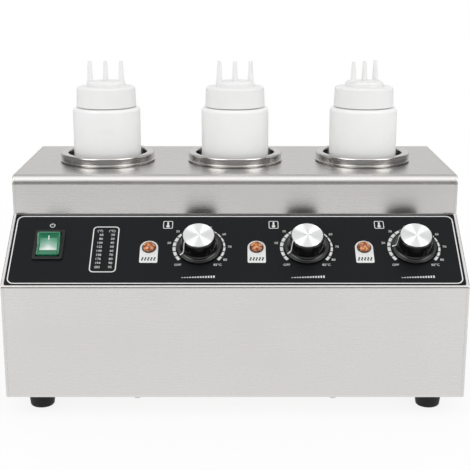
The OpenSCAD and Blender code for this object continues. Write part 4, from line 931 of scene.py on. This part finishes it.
for side, centre, mark_turn in zip(("left", "middle", "right"), well_centres, mark_turns):
    low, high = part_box(f"bottle_{side}")
    bottle = turned(bottle_profile, 128)
    # Raised marks for the filling height, every 10 mm up one side.
    marks = []
    for step in range(13):
        wide = 14 * mm if step % 4 == 0 else 8 * mm
        bpy.ops.mesh.primitive_cube_add(size=1, location=(0, -bottle_r + 0.02 * mm, (24 + 10 * step) * mm))
        mark = bpy.context.object
        mark.scale = wide, 0.5 * mm, 0.7 * mm
        bpy.ops.object.transform_apply(location=True, rotation=True, scale=True)
        bpy.ops.object.mode_set(mode="EDIT")
        bpy.ops.mesh.select_all(action="SELECT")
        bpy.ops.mesh.subdivide(number_cuts=5)
        bpy.ops.object.mode_set(mode="OBJECT")
        for vertex in mark.data.vertices:
            depth = vertex.co.y + bottle_r
            angle = vertex.co.x / bottle_r
            vertex.co.x = math.sin(angle) * (bottle_r - depth)
            vertex.co.y = -math.cos(angle) * (bottle_r - depth)
        marks.append(mark)
    bottle = join([bottle] + marks)
    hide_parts(f"bottle_{side}")
    stand = Matrix.Translation((centre.x, centre.y, low.z)) @ Matrix.Rotation(math.radians(mark_turn), 4, "Z")
    settle(bottle, f"squeeze_bottle_{side}", stand, bottle_finish, f"bottle_{side}")


# Bottle caps: screw caps moulded in the same polythene, hollow, with a raised crown and three
# open nozzles in a row that taper to cut tips.
cap_r = 33.3 * mm
cap_z = body_h + shoulder_h
cap_h = 21.7 * mm
cap_taper = 1 * mm
cap_wall = 2 * mm
cap_gap = 0.4 * mm
crown_r = 21 * mm
crown_h = 6.6 * mm
nozzle_foot_r = 3.2 * mm
nozzle_tip_r = 2.05 * mm
nozzle_bore_r = 1.1 * mm
nozzle_len = 21.3 * mm
nozzle_pitch = 17.4 * mm
nozzle_turns = (0, 0, 40)
inner_r = neck_r + thread_r + cap_gap
cap_top = cap_z + cap_h
crown_top = cap_top + crown_h
cap_profile = rounded([
    (0, crown_top, 0), (crown_r * 0.6, crown_top - 0.3 * mm, 8 * mm), (crown_r, crown_top - 1.1 * mm, 2 * mm),
    (crown_r + 0.7 * mm, cap_top + 0.2 * mm, 0.5 * mm), (cap_r - cap_taper, cap_top - 0.4 * mm, 1.5 * mm),
    (cap_r, cap_z, 0.4 * mm), (inner_r, cap_z, 0.3 * mm), (inner_r, cap_top - cap_wall, 0.6 * mm),
    (crown_r - cap_wall, cap_top - cap_wall, 0.4 * mm), (crown_r - cap_wall, crown_top - cap_wall, 1.5 * mm),
    (0, crown_top - cap_wall, 0)], 8)
nozzle_profile = rounded([
    (nozzle_bore_r, -cap_wall, 0), (nozzle_foot_r + 0.2 * mm, -cap_wall, 0),
    (nozzle_foot_r + 0.9 * mm, -0.4 * mm, 0), (nozzle_foot_r + 0.1 * mm, 0.5 * mm, 0.6 * mm),
    (nozzle_tip_r, nozzle_len, 0.3 * mm), (nozzle_bore_r, nozzle_len, 0.2 * mm)], 4)
for side, centre, turn in zip(("left", "middle", "right"), well_centres, nozzle_turns):
    foot_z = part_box(f"bottle_{side}")[0].z
    cap = turned(cap_profile, 128)
    for k in (-1, 0, 1):
        bpy.ops.mesh.primitive_cylinder_add(vertices=32, radius=nozzle_bore_r, depth=20 * mm,
                                            location=(k * nozzle_pitch, 0, crown_top))
        bpy.ops.object.transform_apply(location=True, rotation=True, scale=True)
        drill = bpy.context.object
        cut = cap.modifiers.new("bore", "BOOLEAN")
        cut.operation = "DIFFERENCE"
        cut.object = drill
        bpy.context.view_layer.objects.active = cap
        bpy.ops.object.modifier_apply(modifier=cut.name)
        bpy.data.objects.remove(drill)
        nozzle = turned(nozzle_profile, 32)
        nozzle.data.transform(Matrix.Translation((k * nozzle_pitch, 0, crown_top)))
        cap = join([cap, nozzle])
    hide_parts(f"bottle_cap_{side}")
    stand = Matrix.Translation((centre.x, centre.y, foot_z)) @ Matrix.Rotation(math.radians(turn), 4, "Z")
    settle(cap, f"nozzle_cap_{side}", stand, cap_finish, f"cap_{side}")


# Studio: a pale floor under a white room. Metal sees the room's own shape, with a broad light
# overhead and a darker front behind the camera, and everything else sees it even.
scene = bpy.context.scene
scene.view_settings.view_transform = "Standard"
world = bpy.data.worlds.new("white room")
scene.world = world
world.use_nodes = True
tree = world.node_tree
room = tree.nodes["Background"]
ray = add(tree, "ShaderNodeLightPath", {})
look = add(tree, "ShaderNodeTexCoord", {}).outputs["Generated"]
axes = add(tree, "ShaderNodeSeparateXYZ", {"Vector": look})
ahead = add(tree, "ShaderNodeMath", {0: axes.outputs["Y"], 1: -1.0}, operation="MULTIPLY")
rise = add(tree, "ShaderNodeMath", {0: axes.outputs["Z"], 1: ahead.outputs[0]}, operation="ARCTAN2")
half_turn = add(tree, "ShaderNodeMath", {0: rise.outputs[0], 1: math.pi}, operation="DIVIDE")
# From the front horizon (0), over the top (0.5), to the horizon behind (1).
shape = add(tree, "ShaderNodeValToRGB", {"Fac": half_turn.outputs[0]})
brightest = 1.7
stops = [(0.0, 0.14), (0.13, 0.13), (0.19, 0.3), (0.25, 1.15), (0.32, 1.7), (0.42, 1.55), (0.49, 1.35),
         (0.58, 0.9), (0.7, 0.42), (0.8, 0.6), (0.87, 0.85)]
ramp = shape.color_ramp
while len(ramp.elements) < len(stops):
    ramp.elements.new(0.5)
for element, (position, level) in zip(ramp.elements, stops):
    element.position = position
    element.color = (level / brightest, level / brightest, level / brightest, 1)
# The room is dark to the left and right, where a softbox stands in front on each side.
level = add(tree, "ShaderNodeMath", {0: shape.outputs[0], 1: brightest}, operation="MULTIPLY")
sideways = add(tree, "ShaderNodeMath", {0: axes.outputs["X"]}, operation="ABSOLUTE")
flank = add(tree, "ShaderNodeMapRange", {"Value": sideways.outputs[0], "From Min": 0.5, "From Max": 0.85},
            interpolation_type="SMOOTHSTEP")
level = add(tree, "ShaderNodeMix", {"Factor": flank.outputs[0], 2: level.outputs[0], 3: 0.15})
for direction in ((-0.6, -0.55, 0.58), (0.66, -0.5, 0.56)):
    facing = add(tree, "ShaderNodeVectorMath", {0: look, 1: Vector(direction).normalized()},
                 operation="DOT_PRODUCT")
    softbox = add(tree, "ShaderNodeMapRange", {"Value": facing.outputs["Value"],
                  "From Min": math.cos(math.radians(24)), "From Max": math.cos(math.radians(10)),
                  "To Min": 0.0, "To Max": 3.2}, interpolation_type="SMOOTHSTEP")
    level = add(tree, "ShaderNodeMath", {0: level.outputs[0], 1: softbox.outputs[0]}, operation="ADD")
glossy = add(tree, "ShaderNodeBackground", {"Color": (1, 1, 1, 1), "Strength": level.outputs[0]})
even = add(tree, "ShaderNodeBackground", {"Color": (1, 1, 1, 1), "Strength": 0.95})
white = add(tree, "ShaderNodeBackground", {"Color": (1, 1, 1, 1), "Strength": 1.0})
for_metal = add(tree, "ShaderNodeMixShader", {"Fac": ray.outputs["Is Glossy Ray"], 1: even.outputs[0],
                2: glossy.outputs[0]})
seen = add(tree, "ShaderNodeMath", {0: ray.outputs["Is Camera Ray"], 1: ray.outputs["Is Transmission Ray"]},
           operation="MAXIMUM")
for_all = add(tree, "ShaderNodeMixShader", {"Fac": seen.outputs[0], 1: for_metal.outputs[0],
              2: white.outputs[0]})
wire(tree, tree.nodes["World Output"], {"Surface": for_all.outputs[0]})
tree.nodes.remove(room)

bpy.ops.mesh.primitive_plane_add(size=40)
floor = bpy.context.object
floor.name = "floor"
paper, tree, shader = new_material("white paper floor")
ray = add(tree, "ShaderNodeLightPath", {})
place = add(tree, "ShaderNodeTexCoord", {}).outputs["Object"]
reach = add(tree, "ShaderNodeVectorMath", {0: place}, operation="LENGTH")
# The paper keeps the object's shadow near it and clears to white further out. Metal sees it end
# in the dark front of the room.
clear = add(tree, "ShaderNodeMapRange", {"Value": reach.outputs["Value"], "From Min": 0.3,
            "From Max": 1.2, "To Min": 0.85, "To Max": 1.0})
fade = add(tree, "ShaderNodeMapRange", {"Value": reach.outputs["Value"], "From Min": 0.45,
           "From Max": 0.8, "To Min": 1.05, "To Max": 1.4})
far = add(tree, "ShaderNodeMapRange", {"Value": reach.outputs["Value"], "From Min": 1.15,
          "From Max": 1.5, "To Min": 1.0, "To Max": 0.22})
fade = add(tree, "ShaderNodeMath", {0: fade.outputs[0], 1: far.outputs[0]}, operation="MULTIPLY")
seen = add(tree, "ShaderNodeMath", {0: ray.outputs["Is Camera Ray"],
           1: ray.outputs["Is Transmission Ray"]}, operation="MAXIMUM")
share = add(tree, "ShaderNodeMath", {0: seen.outputs[0], 1: clear.outputs[0]}, operation="MULTIPLY")
share = add(tree, "ShaderNodeMath", {0: share.outputs[0], 1: ray.outputs["Is Glossy Ray"]},
            operation="MAXIMUM")
strength = add(tree, "ShaderNodeMix", {"Factor": ray.outputs["Is Glossy Ray"], 2: 1.0,
               3: fade.outputs[0]})
glow = add(tree, "ShaderNodeEmission", {"Color": (1, 1, 1, 1), "Strength": strength.outputs[0]})
wire(tree, shader, {"Base Color": linear("#F4F4F4"), "Roughness": 0.9, "Specular IOR Level": 0.0})
mixed = add(tree, "ShaderNodeMixShader", {"Fac": share.outputs[0], 1: shader.outputs[0],
            2: glow.outputs[0]})
wire(tree, tree.nodes["Material Output"], {"Surface": mixed.outputs[0]})
floor.data.materials.append(paper)
floor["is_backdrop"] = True

lights = [("overhead", (0.1, -0.1, 1.7), 1.5, 1.2), ("left", (-1.5, -1.1, 0.9), 0.9, 2.5),
          ("right", (1.5, -1.1, 0.9), 0.9, 3.5)]
for name, location, size, power in lights:
    bpy.ops.object.light_add(type="AREA", location=location)
    lamp = bpy.context.object
    lamp.name = f"softbox_{name}"
    lamp.data.size = size
    lamp.data.energy = power
    lamp.rotation_euler = (Vector((0, 0, 0.15)) - lamp.location).to_track_quat("-Z", "Y").to_euler()
    # The world already gives metal its softboxes.
    lamp.visible_glossy = False

# Camera: where the photograph was taken from, level with its sides upright.
sensor = 36.0
focal_px = 1064.4
picture_px = 470.0
bpy.ops.object.camera_add(location=(0, -1158.8 * mm, 452.4 * mm), rotation=(math.radians(75.604), 0, 0))
camera = bpy.context.object
camera.data.sensor_width = sensor
camera.data.lens = sensor * focal_px / picture_px
scene.camera = camera

low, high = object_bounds()
